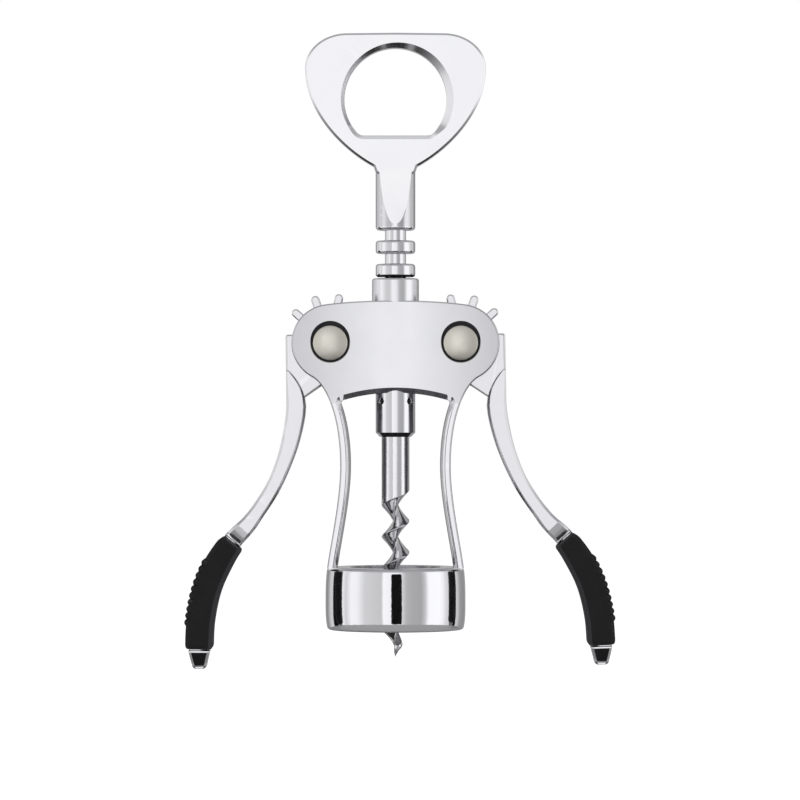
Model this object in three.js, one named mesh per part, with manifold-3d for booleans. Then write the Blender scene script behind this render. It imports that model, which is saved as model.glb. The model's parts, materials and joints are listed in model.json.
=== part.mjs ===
// Winged corkscrew. Two geared levers drive a ring rack up and down, the rack carries a worm,
// and the handle that turns the worm is a crown-cap opener.
// Millimetres, +Z up. The worm turns about the Z axis and the face plates look along -Y.
// The origin is the centre of the bell's mouth, where the neck of a bottle enters.

import * as THREE from 'three';
import { mergeVertices } from 'three/addons/utils/BufferGeometryUtils.js';
import Module from 'manifold-3d';

// Clearances, and lengths that every cut shares
const RUN_GAP = 0.3;
const SEAT_GAP = 0.25;
const OVERRUN = 1.5;
const MERGE_DISTANCE = 0.001;

// Ring rack: discs on a neck, with a sleeve below and the handle's stem above, all of one radius
const SPINDLE_RADIUS = 5.55;
const NECK_RADIUS = 2.95;
const RACK_PITCH = 6.52;
const DISC_THICKNESS = 3.7;
const DISC_ROUND = 0.6;
const DISC_COUNT = 6;
const SLEEVE_LENGTH = 15.8;
const SLEEVE_CHAMFER = 1.2;
const SPIGOT_LENGTH = 8;
const DIMPLE_RADIUS = 1.1;
const DIMPLE_DEPTH = 0.45;
const DIMPLE_DROP = 5.8;
const DIMPLE_COUNT = 4;

// Lever gears: seven fingers of a gear that would have twelve in a full turn
const TEETH_PER_TURN = 12;
const TEETH_BELOW = 2;
const TEETH_ABOVE = 4;
const ADDENDUM = 1.4;
const MESH_DEPTH = 1.2;
const TOOTH_WIDTH = 2.3;
const GEAR_ROOT_RADIUS = 10.2;
const GEAR_THICKNESS = 5.8;
const LEVER_PLAY = THREE.MathUtils.degToRad(0.9);
const MESHED_DISC_RISE = 0.73;
const RAISED_DISC_COUNT = 4;

// Frame casting: face plates round the gears
const PIVOT_HEIGHT = 80.2;
const LOBE_RADIUS = 10.8;
const LOBE_FROM = THREE.MathUtils.degToRad(82);
const LOBE_TO = THREE.MathUtils.degToRad(-62);
const CROWN_RISE = 1.0;
const COLLAR_WALL = 0.8;
const COLLAR_RISE = 6.3;
const COLLAR_ROUND = 0.7;
const EDGE_BEVEL = 0.5;
const SWEEP_FROM = THREE.MathUtils.degToRad(-98);
const SWEEP_TO = THREE.MathUtils.degToRad(78);

// Frame casting: the two straps and the window between them
const WAIST_HEIGHT = 45.8;
const WAIST_HALF_WIDTH = 15.4;
const STRAP_WIDTH = 2.9;
const STRAP_FOOT_DEPTH = 10.4;
const FOOT_SINK = 3;
const WINDOW_CROWN_DROP = 25.7;
const WINDOW_ARCH_RADIUS = 52;
const WINDOW_CHAMFER = 1.4;
const LOBE_PULL_SHARE = 0.18;
const WAIST_PULL_SHARE = 0.56;

// Frame casting: the bell that sits on the bottle
const BELL_HEIGHT = 17.5;
const BELL_RADIUS = 19.6;
const BELL_BARREL = 0.35;
const BELL_FOOT_HEIGHT = 3.3;
const BELL_FOOT_INSET = 0.9;
const BELL_EDGE_ROUND = 1.1;
const MOUTH_RADIUS = 15.5;
const MOUTH_FLARE = 1.2;
const MOUTH_DEPTH = 9.5;
const MOUTH_DRAFT = 0.5;
const CORK_HOLE_RADIUS = 12.7;

// Pivot rivets, in two halves with domed heads
const RIVET_HEAD_RADIUS = 5.05;
const RIVET_HEAD_RIM = 0.7;
const RIVET_DOME = 0.9;
const DOME_SHARES = [1, 0.75, 0.4, 0];
const RIVET_TUBE_RADIUS = 2.6;
const RIVET_SHANK_RADIUS = 1.6;
const COUNTERBORE_DEPTH = 1.2;
const COUNTERBORE_CHAMFER = 0.45;
const COUNTERBORE_GAP = 0.45;

// Lever castings
const WEB_TOP = 2.5;
const WEB_EDGE = 12.5;
const WEB_CORNER_ROUND = 0.7;
const LEVER_REACH = 38;
const LEVER_DROP = 90.6;
const SHOULDER_TOP = 6.7;
const SHOULDER_FOOT = 15.2;
const ARM_TOP_WIDTH = 5.4;
const ARM_MID_WIDTH = 4.1;
const ARM_END_WIDTH = 5.3;
const ARM_DEPTH = 10;
const ARM_END_DEPTH = 9;
const ARM_CHAMFER = 0.8;
const ARM_END_OFFSET = 1;
const TONGUE_WIDTH = 3.6;
const TONGUE_OFFSET = 0.8;
const TONGUE_DEPTH = 6.4;
const TIP_WIDTH = 6.1;
const TIP_END_WIDTH = 4;
const TIP_DEPTH = 9.4;
const TIP_END_DEPTH = 7;
const SHOULDER_BEND_SHARES = [0.15, 0.5];

// The lever's middle line from the shoulder to the bright end, as shares of its reach and its drop,
// and how far along it the arm is slimmest, widens again, and carries the grip
const PATH_SHARES = [
  [0.258, 0.19], [0.268, 0.23], [0.326, 0.331], [0.437, 0.4415], [0.608, 0.547],
  [0.789, 0.636], [0.918, 0.735], [0.984, 0.844], [1, 0.938], [1, 1],
];
const SLIM_SHARE = 0.29;
const WIDENING_SHARE = 0.38;
const GRIP_START_SHARE = 0.53;
const GRIP_END_SHARE = 0.93;

// Soft grips
const GRIP_WIDTH = 8.3;
const GRIP_DEPTH = 13;
const GRIP_CHAMFER = 1.2;
const GRIP_SHOULDER = 2.4;
const RIB_COUNT = 10;
const RIB_HEIGHT = 0.55;
const RIB_SPAN_SHARES = [0.13, 0.68];
const SHOULDER_SHARES = [0, 0.15, 0.45, 1];

// Opener head
const HEAD_HALF_WIDTH = 25.3;
const HEAD_THICKNESS = 6.6;
const HEAD_EDGE = 0.8;
const BLADE_HEIGHT = 37.7;
const STEM_LENGTH = 17.5;
const STEM_ROUND = 1.0;
const STEM_FLAT_LENGTH = 15.8;
const STEM_INSET = 0.1;
const CAP_HOLE_RADIUS = 14.3;
const CAP_HOLE_TOP_WALL = 4.2;
const CAP_LIP_DROP = 10.2;
const CAP_CORNER_ROUND = 2.6;
const CAP_HOLE_BEVEL = 1.25;
const FLARE_SHARES = [[0.24, 0.01], [0.6, 0.14], [1, 0.42], [1, 0.74]];
const CORNER_SHARES = [[1, 0.74], [1, 0.87], [0.81, 0.99], [0.55, 0.996]];
const TENON_SHARES = [[1, -0.2], [0.7, -0.5]];
const STEM_FLAT_SHARES = [0.42, 0.5];

// Worm
const SHANK_RADIUS = 3.9;
const SHANK_SEAT = 11;
const SHANK_LENGTH = 13.2;
const WORM_LENGTH = 61.6;
const WORM_PITCH = 8.8;
const WORM_CORE_RADIUS = 0.75;
const WORM_RUNOUT = 5;
const WORM_TAPER_LENGTH = 11.5;
const WORM_POINT_RADIUS = 0.12;
const WORM_CREST_HEIGHT = 30.4;
const CREST_SHARPNESS = 1.2;
const POINT_SHARPNESS = 2.2;

// Counts of facets
const ROUND_STEPS = 28;
const SPINDLE_STEPS = 20;
const RIVET_STEPS = 16;
const BELL_STEPS = 40;
const CORNER_STEPS = 2;
const CURVE_STEPS = 8;
const RIB_STEPS = 3;
const WORM_STEPS = 12;
const SOFT_CORNER_SHARE = 0.3;

// Places worked out from the sizes above
const pitchRadius = (TEETH_PER_TURN * RACK_PITCH) / (2 * Math.PI);
const toothTipRadius = pitchRadius + ADDENDUM;
const pivotX = toothTipRadius + SPINDLE_RADIUS - MESH_DEPTH;
const boreRadius = SPINDLE_RADIUS + SEAT_GAP;
const collarRadius = boreRadius + COLLAR_WALL;
const housingDepth = 2 * collarRadius;
const lobeTop = PIVOT_HEIGHT + LOBE_RADIUS;
const plateTop = lobeTop + CROWN_RISE;
const collarTop = plateTop + COLLAR_RISE;
const windowTop = plateTop - WINDOW_CROWN_DROP;
const discHalf = DISC_THICKNESS / 2;
const topDiscHeight = PIVOT_HEIGHT + MESHED_DISC_RISE + RAISED_DISC_COUNT * RACK_PITCH;
const stemBottom = topDiscHeight + RACK_PITCH - discHalf;
const sleeveTop = topDiscHeight - DISC_COUNT * RACK_PITCH + discHalf;
const sleeveBottom = sleeveTop - SLEEVE_LENGTH;
const bladeBottom = stemBottom + STEM_LENGTH;
const wormTip = sleeveBottom - WORM_LENGTH;
const turn = 2 * Math.PI;
const quarter = Math.PI / 2;

const wasm = await Module();
wasm.setup();

// Solids. A geometry becomes a solid once its equal corners are merged and its flat triangles dropped.
function toSolid(geometry) {
  const bare = new THREE.BufferGeometry();
  bare.setAttribute('position', geometry.getAttribute('position').clone());
  if (geometry.index) bare.setIndex(geometry.index.clone());
  const merged = mergeVertices(bare, MERGE_DISTANCE);
  const corners = Array.from(merged.index.array);
  const kept = [];
  for (let i = 0; i < corners.length; i += 3) {
    const [a, b, c] = corners.slice(i, i + 3);
    if (a !== b && b !== c && c !== a) kept.push(a, b, c);
  }
  return new wasm.Manifold(new wasm.Mesh({
    numProp: 3,
    vertProperties: Float32Array.from(merged.getAttribute('position').array),
    triVerts: Uint32Array.from(kept),
  }));
}

function toGeometry(solid) {
  const mesh = solid.getMesh();
  const geometry = new THREE.BufferGeometry();
  geometry.setAttribute('position', new THREE.BufferAttribute(Float32Array.from(mesh.vertProperties), 3));
  geometry.setIndex(Array.from(mesh.triVerts));
  geometry.computeVertexNormals();
  return geometry;
}

function join(...geometries) {
  return toGeometry(geometries.map(toSolid).reduce((whole, next) => whole.add(next)));
}

function cut(geometry, ...cutters) {
  return toGeometry(cutters.map(toSolid).reduce((whole, next) => whole.subtract(next), toSolid(geometry)));
}

function common(a, b) {
  return toGeometry(toSolid(a).intersect(toSolid(b)));
}

// A profile of [radius, height] pairs turned about Z. It is drawn from the bottom up on the outside.
function turned(profile, steps) {
  const points = profile.map(([radius, height]) => new THREE.Vector2(radius, height));
  return new THREE.LatheGeometry(points, steps).rotateX(quarter);
}

// The same, turned about the Y axis through (x, z). Heights run towards the back.
function turnedAcross(profile, steps, x, z) {
  return turned(profile, steps).rotateX(-quarter).translate(x, 0, z);
}

// A drawing in X and Z, given thickness along Y, centred on the XZ plane.
function slab(shape, thickness, bevel = 0, curveSegments = CURVE_STEPS) {
  const depth = thickness - 2 * bevel;
  return new THREE.ExtrudeGeometry(shape, {
    depth,
    curveSegments,
    steps: 1,
    bevelEnabled: bevel > 0,
    bevelThickness: bevel,
    bevelSize: bevel,
    bevelOffset: -bevel,
    bevelSegments: 1,
  }).translate(0, 0, -depth / 2).rotateX(quarter);
}

// A cutter for a hole through a slab whose edges are chamfered on both faces.
function chamferedCutter(shape, thickness, chamfer) {
  const depth = thickness - 2 * chamfer;
  const reach = chamfer + OVERRUN;
  return new THREE.ExtrudeGeometry(shape, {
    depth,
    curveSegments: CURVE_STEPS,
    steps: 1,
    bevelEnabled: true,
    bevelThickness: reach,
    bevelSize: -reach,
    bevelOffset: reach,
    bevelSegments: 1,
  }).translate(0, 0, -depth / 2).rotateX(quarter);
}

// A skin over rings of equally many points, with a fan on each end.
function loft(rings) {
  const count = rings[0].length;
  const last = (rings.length - 1) * count;
  const index = [];
  for (let start = 0; start < last; start += count) {
    for (let k = 0; k < count; k++) {
      const next = (k + 1) % count;
      index.push(start + k, start + next, start + count + next);
      index.push(start + k, start + count + next, start + count + k);
    }
  }
  for (let k = 1; k + 1 < count; k++) {
    index.push(0, k + 1, k);
    index.push(last, last + k, last + k + 1);
  }
  const geometry = new THREE.BufferGeometry();
  const numbers = rings.flat().flatMap((point) => [point.x, point.y, point.z]);
  geometry.setAttribute('position', new THREE.Float32BufferAttribute(numbers, 3));
  geometry.setIndex(index);
  return geometry;
}

// Quarter rounds for a turned profile: from the underside of a rim out to its wall, and back in over it.
function roundOut(radius, height, round) {
  return Array.from({ length: CORNER_STEPS + 1 }, (_, i) => {
    const angle = (i / CORNER_STEPS) * quarter;
    return [radius - round + round * Math.sin(angle), height + round - round * Math.cos(angle)];
  });
}

function roundIn(radius, height, round) {
  return roundOut(radius, 0, round).reverse().map(([r, rise]) => [r, height - rise]);
}

// The strap's outer edge on the right, from the lobe to the waist and from the waist to the foot.
const pivotSpot = new THREE.Vector2(pivotX, PIVOT_HEIGHT);
const lobeEnd = new THREE.Vector2(
  pivotX + LOBE_RADIUS * Math.cos(LOBE_TO),
  PIVOT_HEIGHT + LOBE_RADIUS * Math.sin(LOBE_TO),
);
const waist = new THREE.Vector2(WAIST_HALF_WIDTH, WAIST_HEIGHT);
const foot = new THREE.Vector2(BELL_RADIUS - BELL_EDGE_ROUND / 2, BELL_HEIGHT);

function strapEdges() {
  const fall = lobeEnd.y - waist.y;
  const drop = waist.y - foot.y;
  const upper = new THREE.CubicBezierCurve(
    lobeEnd,
    new THREE.Vector2(
      lobeEnd.x + LOBE_PULL_SHARE * fall * Math.sin(LOBE_TO),
      lobeEnd.y - LOBE_PULL_SHARE * fall * Math.cos(LOBE_TO),
    ),
    new THREE.Vector2(waist.x, waist.y + WAIST_PULL_SHARE * fall),
    waist,
  );
  const lower = new THREE.CubicBezierCurve(
    waist,
    new THREE.Vector2(waist.x, waist.y - drop / 3),
    new THREE.Vector2((waist.x + 3 * foot.x) / 4, foot.y + drop / 4),
    foot,
  );
  return { upper, lower };
}

function mirrored(points) {
  return points.map((point) => new THREE.Vector2(-point.x, point.y)).reverse();
}

function castingOutline() {
  const { upper, lower } = strapEdges();
  const lobe = Array.from({ length: CURVE_STEPS + 1 }, (_, i) => {
    const angle = THREE.MathUtils.lerp(LOBE_FROM, LOBE_TO, i / CURVE_STEPS);
    return new THREE.Vector2(Math.cos(angle), Math.sin(angle)).multiplyScalar(LOBE_RADIUS).add(pivotSpot);
  });
  const start = lobe[0];
  const bend = new THREE.Vector2(start.x - (plateTop - start.y) * Math.tan(LOBE_FROM), plateTop);
  const crown = new THREE.QuadraticBezierCurve(new THREE.Vector2(0, plateTop), bend, start);
  const right = [
    ...crown.getPoints(CURVE_STEPS / 2).slice(1, -1),
    ...lobe,
    ...upper.getPoints(CURVE_STEPS).slice(1),
    ...lower.getPoints(CURVE_STEPS).slice(1),
    new THREE.Vector2(foot.x - FOOT_SINK / 2, foot.y - FOOT_SINK),
  ];
  return new THREE.Shape([...mirrored(right), new THREE.Vector2(0, plateTop), ...right]);
}

function archHeight(x) {
  return windowTop - WINDOW_ARCH_RADIUS + Math.sqrt(WINDOW_ARCH_RADIUS ** 2 - x ** 2);
}

// The window follows the straps' outer edges, one strap width further in, under a shallow arch.
function windowOutline() {
  const { upper, lower } = strapEdges();
  const inner = (curve, share) => {
    const point = curve.getPoint(share);
    return new THREE.Vector2(point.x - STRAP_WIDTH, point.y);
  };
  const fine = CURVE_STEPS ** 2;
  const shares = Array.from({ length: fine + 1 }, (_, i) => i / fine);
  const corner = shares.find((share) => inner(upper, share).y < archHeight(inner(upper, share).x));
  const steps = Array.from({ length: CURVE_STEPS + 1 }, (_, i) => i / CURVE_STEPS);
  const springing = inner(upper, corner).x;
  const arch = steps.slice(0, -1).map((share) => {
    const x = share * springing;
    return new THREE.Vector2(x, archHeight(x));
  });
  const right = [
    ...arch.slice(1),
    ...steps.map((share) => inner(upper, corner + (1 - corner) * share)),
    ...steps.slice(1).map((share) => inner(lower, share)),
    new THREE.Vector2(foot.x - STRAP_WIDTH, foot.y - FOOT_SINK - OVERRUN),
  ];
  return new THREE.Shape([...mirrored(right), arch[0], ...right]);
}

// The straps grow thinner from front to back as they near the bell: each point's Y is scaled by its height.
function narrowed(geometry) {
  const position = geometry.getAttribute('position');
  const footShare = STRAP_FOOT_DEPTH / housingDepth;
  for (let i = 0; i < position.count; i++) {
    const share = THREE.MathUtils.smoothstep(position.getZ(i), BELL_HEIGHT, windowTop - STRAP_WIDTH);
    position.setY(i, position.getY(i) * THREE.MathUtils.lerp(footShare, 1, share));
  }
  return geometry;
}

function bellProfile() {
  const footRadius = BELL_RADIUS - BELL_FOOT_INSET;
  const middle = (BELL_HEIGHT + BELL_FOOT_HEIGHT) / 2;
  return [
    [0, 0],
    ...roundOut(footRadius, 0, BELL_EDGE_ROUND),
    [BELL_RADIUS - BELL_BARREL, BELL_FOOT_HEIGHT],
    [BELL_RADIUS, middle],
    ...roundIn(BELL_RADIUS - BELL_BARREL, BELL_HEIGHT, BELL_EDGE_ROUND),
    [0, BELL_HEIGHT],
  ];
}

function bellCavity() {
  return turned([
    [0, -OVERRUN],
    [MOUTH_RADIUS + MOUTH_FLARE + OVERRUN, -OVERRUN],
    [MOUTH_RADIUS, MOUTH_FLARE],
    [MOUTH_RADIUS - MOUTH_DRAFT, MOUTH_DEPTH],
    [CORK_HOLE_RADIUS, MOUTH_DEPTH],
    [CORK_HOLE_RADIUS, BELL_HEIGHT + OVERRUN],
    [0, BELL_HEIGHT + OVERRUN],
  ], BELL_STEPS);
}

// One gear chamber: a round pocket for the fingers, wider where the lever's web swings through it.
function gearSlot() {
  const pocket = toothTipRadius + RUN_GAP;
  const sweep = Math.hypot(armFootX(), SHOULDER_FOOT) + 2 * RUN_GAP;
  const shape = new THREE.Shape();
  shape.absarc(pivotX, PIVOT_HEIGHT, sweep, SWEEP_FROM, SWEEP_TO, false);
  shape.absarc(pivotX, PIVOT_HEIGHT, pocket, SWEEP_TO, SWEEP_FROM + turn, false);
  return slab(shape, GEAR_THICKNESS + 2 * RUN_GAP);
}

// The rivet's hole, with a chamfered counterbore on each face.
function rivetSeat() {
  const face = housingDepth / 2;
  const floor = face - COUNTERBORE_DEPTH;
  const bore = RIVET_TUBE_RADIUS + SEAT_GAP;
  const sink = RIVET_HEAD_RADIUS + COUNTERBORE_GAP;
  const flare = sink + COUNTERBORE_CHAMFER + OVERRUN;
  return turnedAcross([
    [0, -face - OVERRUN],
    [flare, -face - OVERRUN],
    [sink, -face + COUNTERBORE_CHAMFER],
    [sink, -floor],
    [bore, -floor],
    [bore, floor],
    [sink, floor],
    [sink, face - COUNTERBORE_CHAMFER],
    [flare, face + OVERRUN],
    [0, face + OVERRUN],
  ], RIVET_STEPS, pivotX, PIVOT_HEIGHT);
}

function frameCasting() {
  const body = slab(castingOutline(), housingDepth, EDGE_BEVEL);
  const window = chamferedCutter(windowOutline(), housingDepth, WINDOW_CHAMFER);
  const plates = narrowed(cut(body, window));
  const collar = turned([
    [0, windowTop + STRAP_WIDTH],
    [collarRadius, windowTop + STRAP_WIDTH],
    ...roundIn(collarRadius, collarTop, COLLAR_ROUND),
    [0, collarTop],
  ], ROUND_STEPS);
  const bore = turned([
    [0, windowTop - OVERRUN],
    [boreRadius, windowTop - OVERRUN],
    [boreRadius, collarTop + OVERRUN],
    [0, collarTop + OVERRUN],
  ], ROUND_STEPS);
  const whole = join(plates, collar, turned(bellProfile(), BELL_STEPS));
  const sides = [0, Math.PI].flatMap((angle) => [gearSlot().rotateZ(angle), rivetSeat().rotateZ(angle)]);
  return cut(whole, bellCavity(), bore, ...sides);
}

// Ring rack and sleeve in one turned piece, with a blind bore for the worm's shank and four staking dimples.
function rackSpindle() {
  const shankBore = SHANK_RADIUS + SEAT_GAP;
  const profile = [
    [0, sleeveBottom + SHANK_SEAT + SEAT_GAP],
    [shankBore, sleeveBottom + SHANK_SEAT + SEAT_GAP],
    [shankBore, sleeveBottom],
    [SHANK_RADIUS + 2 * SEAT_GAP, sleeveBottom],
    [SPINDLE_RADIUS, sleeveBottom + SLEEVE_CHAMFER],
    ...roundIn(SPINDLE_RADIUS, sleeveTop, DISC_ROUND),
    [NECK_RADIUS, sleeveTop],
  ];
  for (let disc = DISC_COUNT - 1; disc >= 0; disc--) {
    const height = topDiscHeight - disc * RACK_PITCH;
    profile.push(
      [NECK_RADIUS, height - discHalf],
      ...roundOut(SPINDLE_RADIUS, height - discHalf, DISC_ROUND),
      ...roundIn(SPINDLE_RADIUS, height + discHalf, DISC_ROUND),
      [NECK_RADIUS, height + discHalf],
    );
  }
  profile.push([NECK_RADIUS, stemBottom + SPIGOT_LENGTH], [0, stemBottom + SPIGOT_LENGTH]);
  const dimples = Array.from({ length: DIMPLE_COUNT }, (_, i) => {
    const angle = ((i + 0.5) / DIMPLE_COUNT) * turn;
    const reach = SPINDLE_RADIUS - DIMPLE_DEPTH + DIMPLE_RADIUS;
    return new THREE.IcosahedronGeometry(DIMPLE_RADIUS, 1)
      .translate(reach * Math.cos(angle), reach * Math.sin(angle), sleeveTop - DIMPLE_DROP);
  });
  return cut(turned(profile, SPINDLE_STEPS), ...dimples);
}

// Right lever, drawn about its pivot. The web's corner below the plates is where the thick arm begins.
function armFootX() {
  return WEB_EDGE - ARM_TOP_WIDTH + RUN_GAP;
}

function toothAngle(step) {
  const gap = (MESHED_DISC_RISE + RACK_PITCH / 2) / pitchRadius;
  return Math.PI - gap + (step * turn) / TEETH_PER_TURN;
}

// A finger: parallel flanks from inside the hub, under a half-round tip.
function toothOutline() {
  const half = TOOTH_WIDTH / 2;
  const shape = new THREE.Shape();
  shape.moveTo(GEAR_ROOT_RADIUS - OVERRUN, -half);
  shape.absarc(toothTipRadius - half, 0, half, -quarter, quarter, false);
  shape.lineTo(GEAR_ROOT_RADIUS - OVERRUN, half);
  return shape;
}

function gearAndWeb() {
  const hub = new THREE.Shape();
  hub.absarc(0, 0, GEAR_ROOT_RADIUS, 0, turn, false);
  const teeth = [];
  for (let step = -TEETH_ABOVE; step <= TEETH_BELOW; step++) {
    teeth.push(slab(toothOutline(), GEAR_THICKNESS, 0, CORNER_STEPS * 1.5).rotateY(-toothAngle(step)));
  }
  const web = new THREE.Shape();
  web.moveTo(0, WEB_TOP);
  web.lineTo(0, -GEAR_ROOT_RADIUS);
  web.lineTo(armFootX(), -SHOULDER_FOOT);
  web.lineTo(armFootX() + ARM_CHAMFER, -SHOULDER_FOOT);
  web.lineTo(WEB_EDGE, -SHOULDER_TOP - ARM_TOP_WIDTH);
  web.lineTo(WEB_EDGE, WEB_TOP - WEB_CORNER_ROUND);
  web.quadraticCurveTo(WEB_EDGE, WEB_TOP, WEB_EDGE - WEB_CORNER_ROUND, WEB_TOP);
  const disc = slab(hub, GEAR_THICKNESS, 0, ROUND_STEPS);
  return join(disc, slab(web, GEAR_THICKNESS, 0, CORNER_STEPS), ...teeth);
}

// The thick arm starts in a rounded shoulder that stays outside the face plates as the lever swings.
function shoulder() {
  const inner = armFootX();
  const [bendOut, bendDown] = SHOULDER_BEND_SHARES;
  const shape = new THREE.Shape();
  const overlap = SHOULDER_FOOT + ARM_TOP_WIDTH;
  shape.moveTo(inner, -overlap);
  shape.lineTo(WEB_EDGE, -overlap);
  shape.lineTo(WEB_EDGE, -SHOULDER_TOP);
  shape.quadraticCurveTo(
    THREE.MathUtils.lerp(inner, WEB_EDGE, bendOut),
    THREE.MathUtils.lerp(-SHOULDER_TOP, -SHOULDER_FOOT, bendDown),
    inner,
    -SHOULDER_FOOT,
  );
  return slab(shape, ARM_DEPTH, ARM_CHAMFER / 2);
}

function leverPath() {
  return new THREE.CatmullRomCurve3(
    PATH_SHARES.map(([out, down]) => new THREE.Vector3(out * LEVER_REACH, 0, -down * LEVER_DROP)),
  );
}

// One rounded-off rectangle square to the path. Inside and outside half widths may differ.
function section(path, share, inside, outside, depth, chamfer) {
  const centre = path.getPointAt(share);
  const along = path.getTangentAt(share);
  const outward = new THREE.Vector3(-along.z, 0, along.x);
  const half = depth / 2;
  const soft = SOFT_CORNER_SHARE * chamfer;
  const corner = [[0, chamfer], [soft, soft], [chamfer, 0]];
  const quadrant = (width, side, face) => corner.map(([u, v]) => [side * (width - u), face * (half - v)]);
  const loop = [
    ...quadrant(outside, 1, 1),
    ...quadrant(inside, -1, 1).reverse(),
    ...quadrant(inside, -1, -1),
    ...quadrant(outside, 1, -1).reverse(),
  ];
  return loop.map(([across, deep]) => {
    const point = centre.clone().addScaledVector(outward, across);
    point.y = -deep;
    return point;
  });
}

function evenShares(from, to, steps) {
  return Array.from({ length: steps + 1 }, (_, i) => from + ((to - from) * i) / steps);
}

// The tongue's section, or with room round it the grip's hollow.
function tongueSection(path, share, room) {
  const half = TONGUE_WIDTH / 2 + room;
  const depth = TONGUE_DEPTH + 2 * room;
  return section(path, share, half + TONGUE_OFFSET, half - TONGUE_OFFSET, depth, ARM_CHAMFER);
}

// The arm grows slim, widens towards the inside where the grip begins, and goes on as a tongue and a tip.
function leverArm() {
  const path = leverPath();
  const length = path.getLength();
  const rings = evenShares(0, GRIP_START_SHARE, CURVE_STEPS).map((share) => {
    const narrowing = THREE.MathUtils.smoothstep(share, 0, SLIM_SHARE);
    const widening = THREE.MathUtils.smoothstep(share, WIDENING_SHARE, GRIP_START_SHARE);
    const slim = THREE.MathUtils.lerp(ARM_TOP_WIDTH, ARM_MID_WIDTH, narrowing);
    const half = THREE.MathUtils.lerp(slim, ARM_END_WIDTH, widening) / 2;
    const offset = ARM_END_OFFSET * widening;
    const depth = THREE.MathUtils.lerp(ARM_DEPTH, ARM_END_DEPTH, share / GRIP_START_SHARE);
    return section(path, share, half + offset, half - offset, depth, ARM_CHAMFER);
  });
  const tipStart = GRIP_END_SHARE + RUN_GAP / length;
  for (const share of evenShares(GRIP_START_SHARE, tipStart, CURVE_STEPS / 2)) {
    rings.push(tongueSection(path, share, 0));
  }
  const tipBreak = 1 - ARM_CHAMFER / length;
  const endHalf = (TIP_END_WIDTH - ARM_CHAMFER) / 2;
  rings.push(section(path, tipStart, TIP_WIDTH / 2, TIP_WIDTH / 2, TIP_DEPTH, ARM_CHAMFER));
  rings.push(section(path, tipBreak, TIP_END_WIDTH / 2, TIP_END_WIDTH / 2, TIP_END_DEPTH, ARM_CHAMFER));
  rings.push(section(path, 1, endHalf, endHalf, TIP_END_DEPTH - ARM_CHAMFER, ARM_CHAMFER));
  return loft(rings);
}

function lever() {
  const pinHole = turnedAcross([
    [0, -GEAR_THICKNESS],
    [RIVET_TUBE_RADIUS + SEAT_GAP, -GEAR_THICKNESS],
    [RIVET_TUBE_RADIUS + SEAT_GAP, GEAR_THICKNESS],
    [0, GEAR_THICKNESS],
  ], RIVET_STEPS, 0, 0);
  return cut(join(gearAndWeb(), shoulder(), leverArm()), pinHole);
}

// The soft grip on the tongue: rounded shoulders at both ends and a row of ribs on its outer side.
function grip() {
  const path = leverPath();
  const length = path.getLength();
  const from = GRIP_START_SHARE + RUN_GAP / length;
  const to = GRIP_END_SHARE;
  const span = to - from;
  const [ribsFrom, ribsTo] = RIB_SPAN_SHARES;
  const half = GRIP_WIDTH / 2;
  const ring = (t, outside) => {
    const distance = Math.min(t, 1 - t) * span * length;
    const ease = Math.min(1, distance / GRIP_SHOULDER);
    const draw = (1 - Math.sqrt(1 - (1 - ease) ** 2)) * GRIP_CHAMFER;
    return section(path, from + t * span, half - draw, outside - draw, GRIP_DEPTH - 2 * draw, GRIP_CHAMFER);
  };
  const shoulderShare = GRIP_SHOULDER / (span * length);
  const heads = SHOULDER_SHARES.map((t) => ring(t * shoulderShare, half));
  const feet = SHOULDER_SHARES.map((t) => ring(1 - t * shoulderShare, half)).reverse();
  const ribs = evenShares(ribsFrom, ribsTo, RIB_COUNT * RIB_STEPS).map((t, i) => {
    const swell = Math.abs(Math.sin((i / RIB_STEPS) * Math.PI));
    return ring(t, half + RIB_HEIGHT * swell);
  });
  const plain = evenShares(ribsTo, 1 - shoulderShare, RIB_STEPS).slice(1, -1).map((t) => ring(t, half));
  const hollow = evenShares(from - OVERRUN / length, to + OVERRUN / length, CURVE_STEPS)
    .map((share) => tongueSection(path, share, RUN_GAP));
  return cut(loft([...heads, ...ribs, ...plain, ...feet]), loft(hollow));
}

// A rivet head as a turned profile, from its rim under the head to the top of its dome.
function domePoints(face) {
  return DOME_SHARES.map((share) => {
    const rise = RIVET_DOME * (1 - share ** 2);
    return [RIVET_HEAD_RADIUS * share, face + RIVET_HEAD_RIM + rise];
  });
}

// The front half has a solid shank along Y that ends inside the rear half's tube.
function rivetFront() {
  const under = housingDepth / 2 - COUNTERBORE_DEPTH + SEAT_GAP;
  return turnedAcross([
    [0, -under],
    [RIVET_SHANK_RADIUS, -under],
    [RIVET_SHANK_RADIUS, under],
    [RIVET_HEAD_RADIUS, under],
    ...domePoints(under),
  ], RIVET_STEPS, 0, 0).rotateZ(Math.PI);
}

function rivetRear() {
  const under = housingDepth / 2 - COUNTERBORE_DEPTH + SEAT_GAP;
  const hollow = RIVET_SHANK_RADIUS + SEAT_GAP;
  return turnedAcross([
    [0, under + SEAT_GAP],
    [hollow, under + SEAT_GAP],
    [hollow, -under + SEAT_GAP],
    [RIVET_TUBE_RADIUS, -under + SEAT_GAP],
    [RIVET_TUBE_RADIUS, under],
    [RIVET_HEAD_RADIUS, under],
    ...domePoints(under),
  ], RIVET_STEPS, 0, 0);
}

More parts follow.
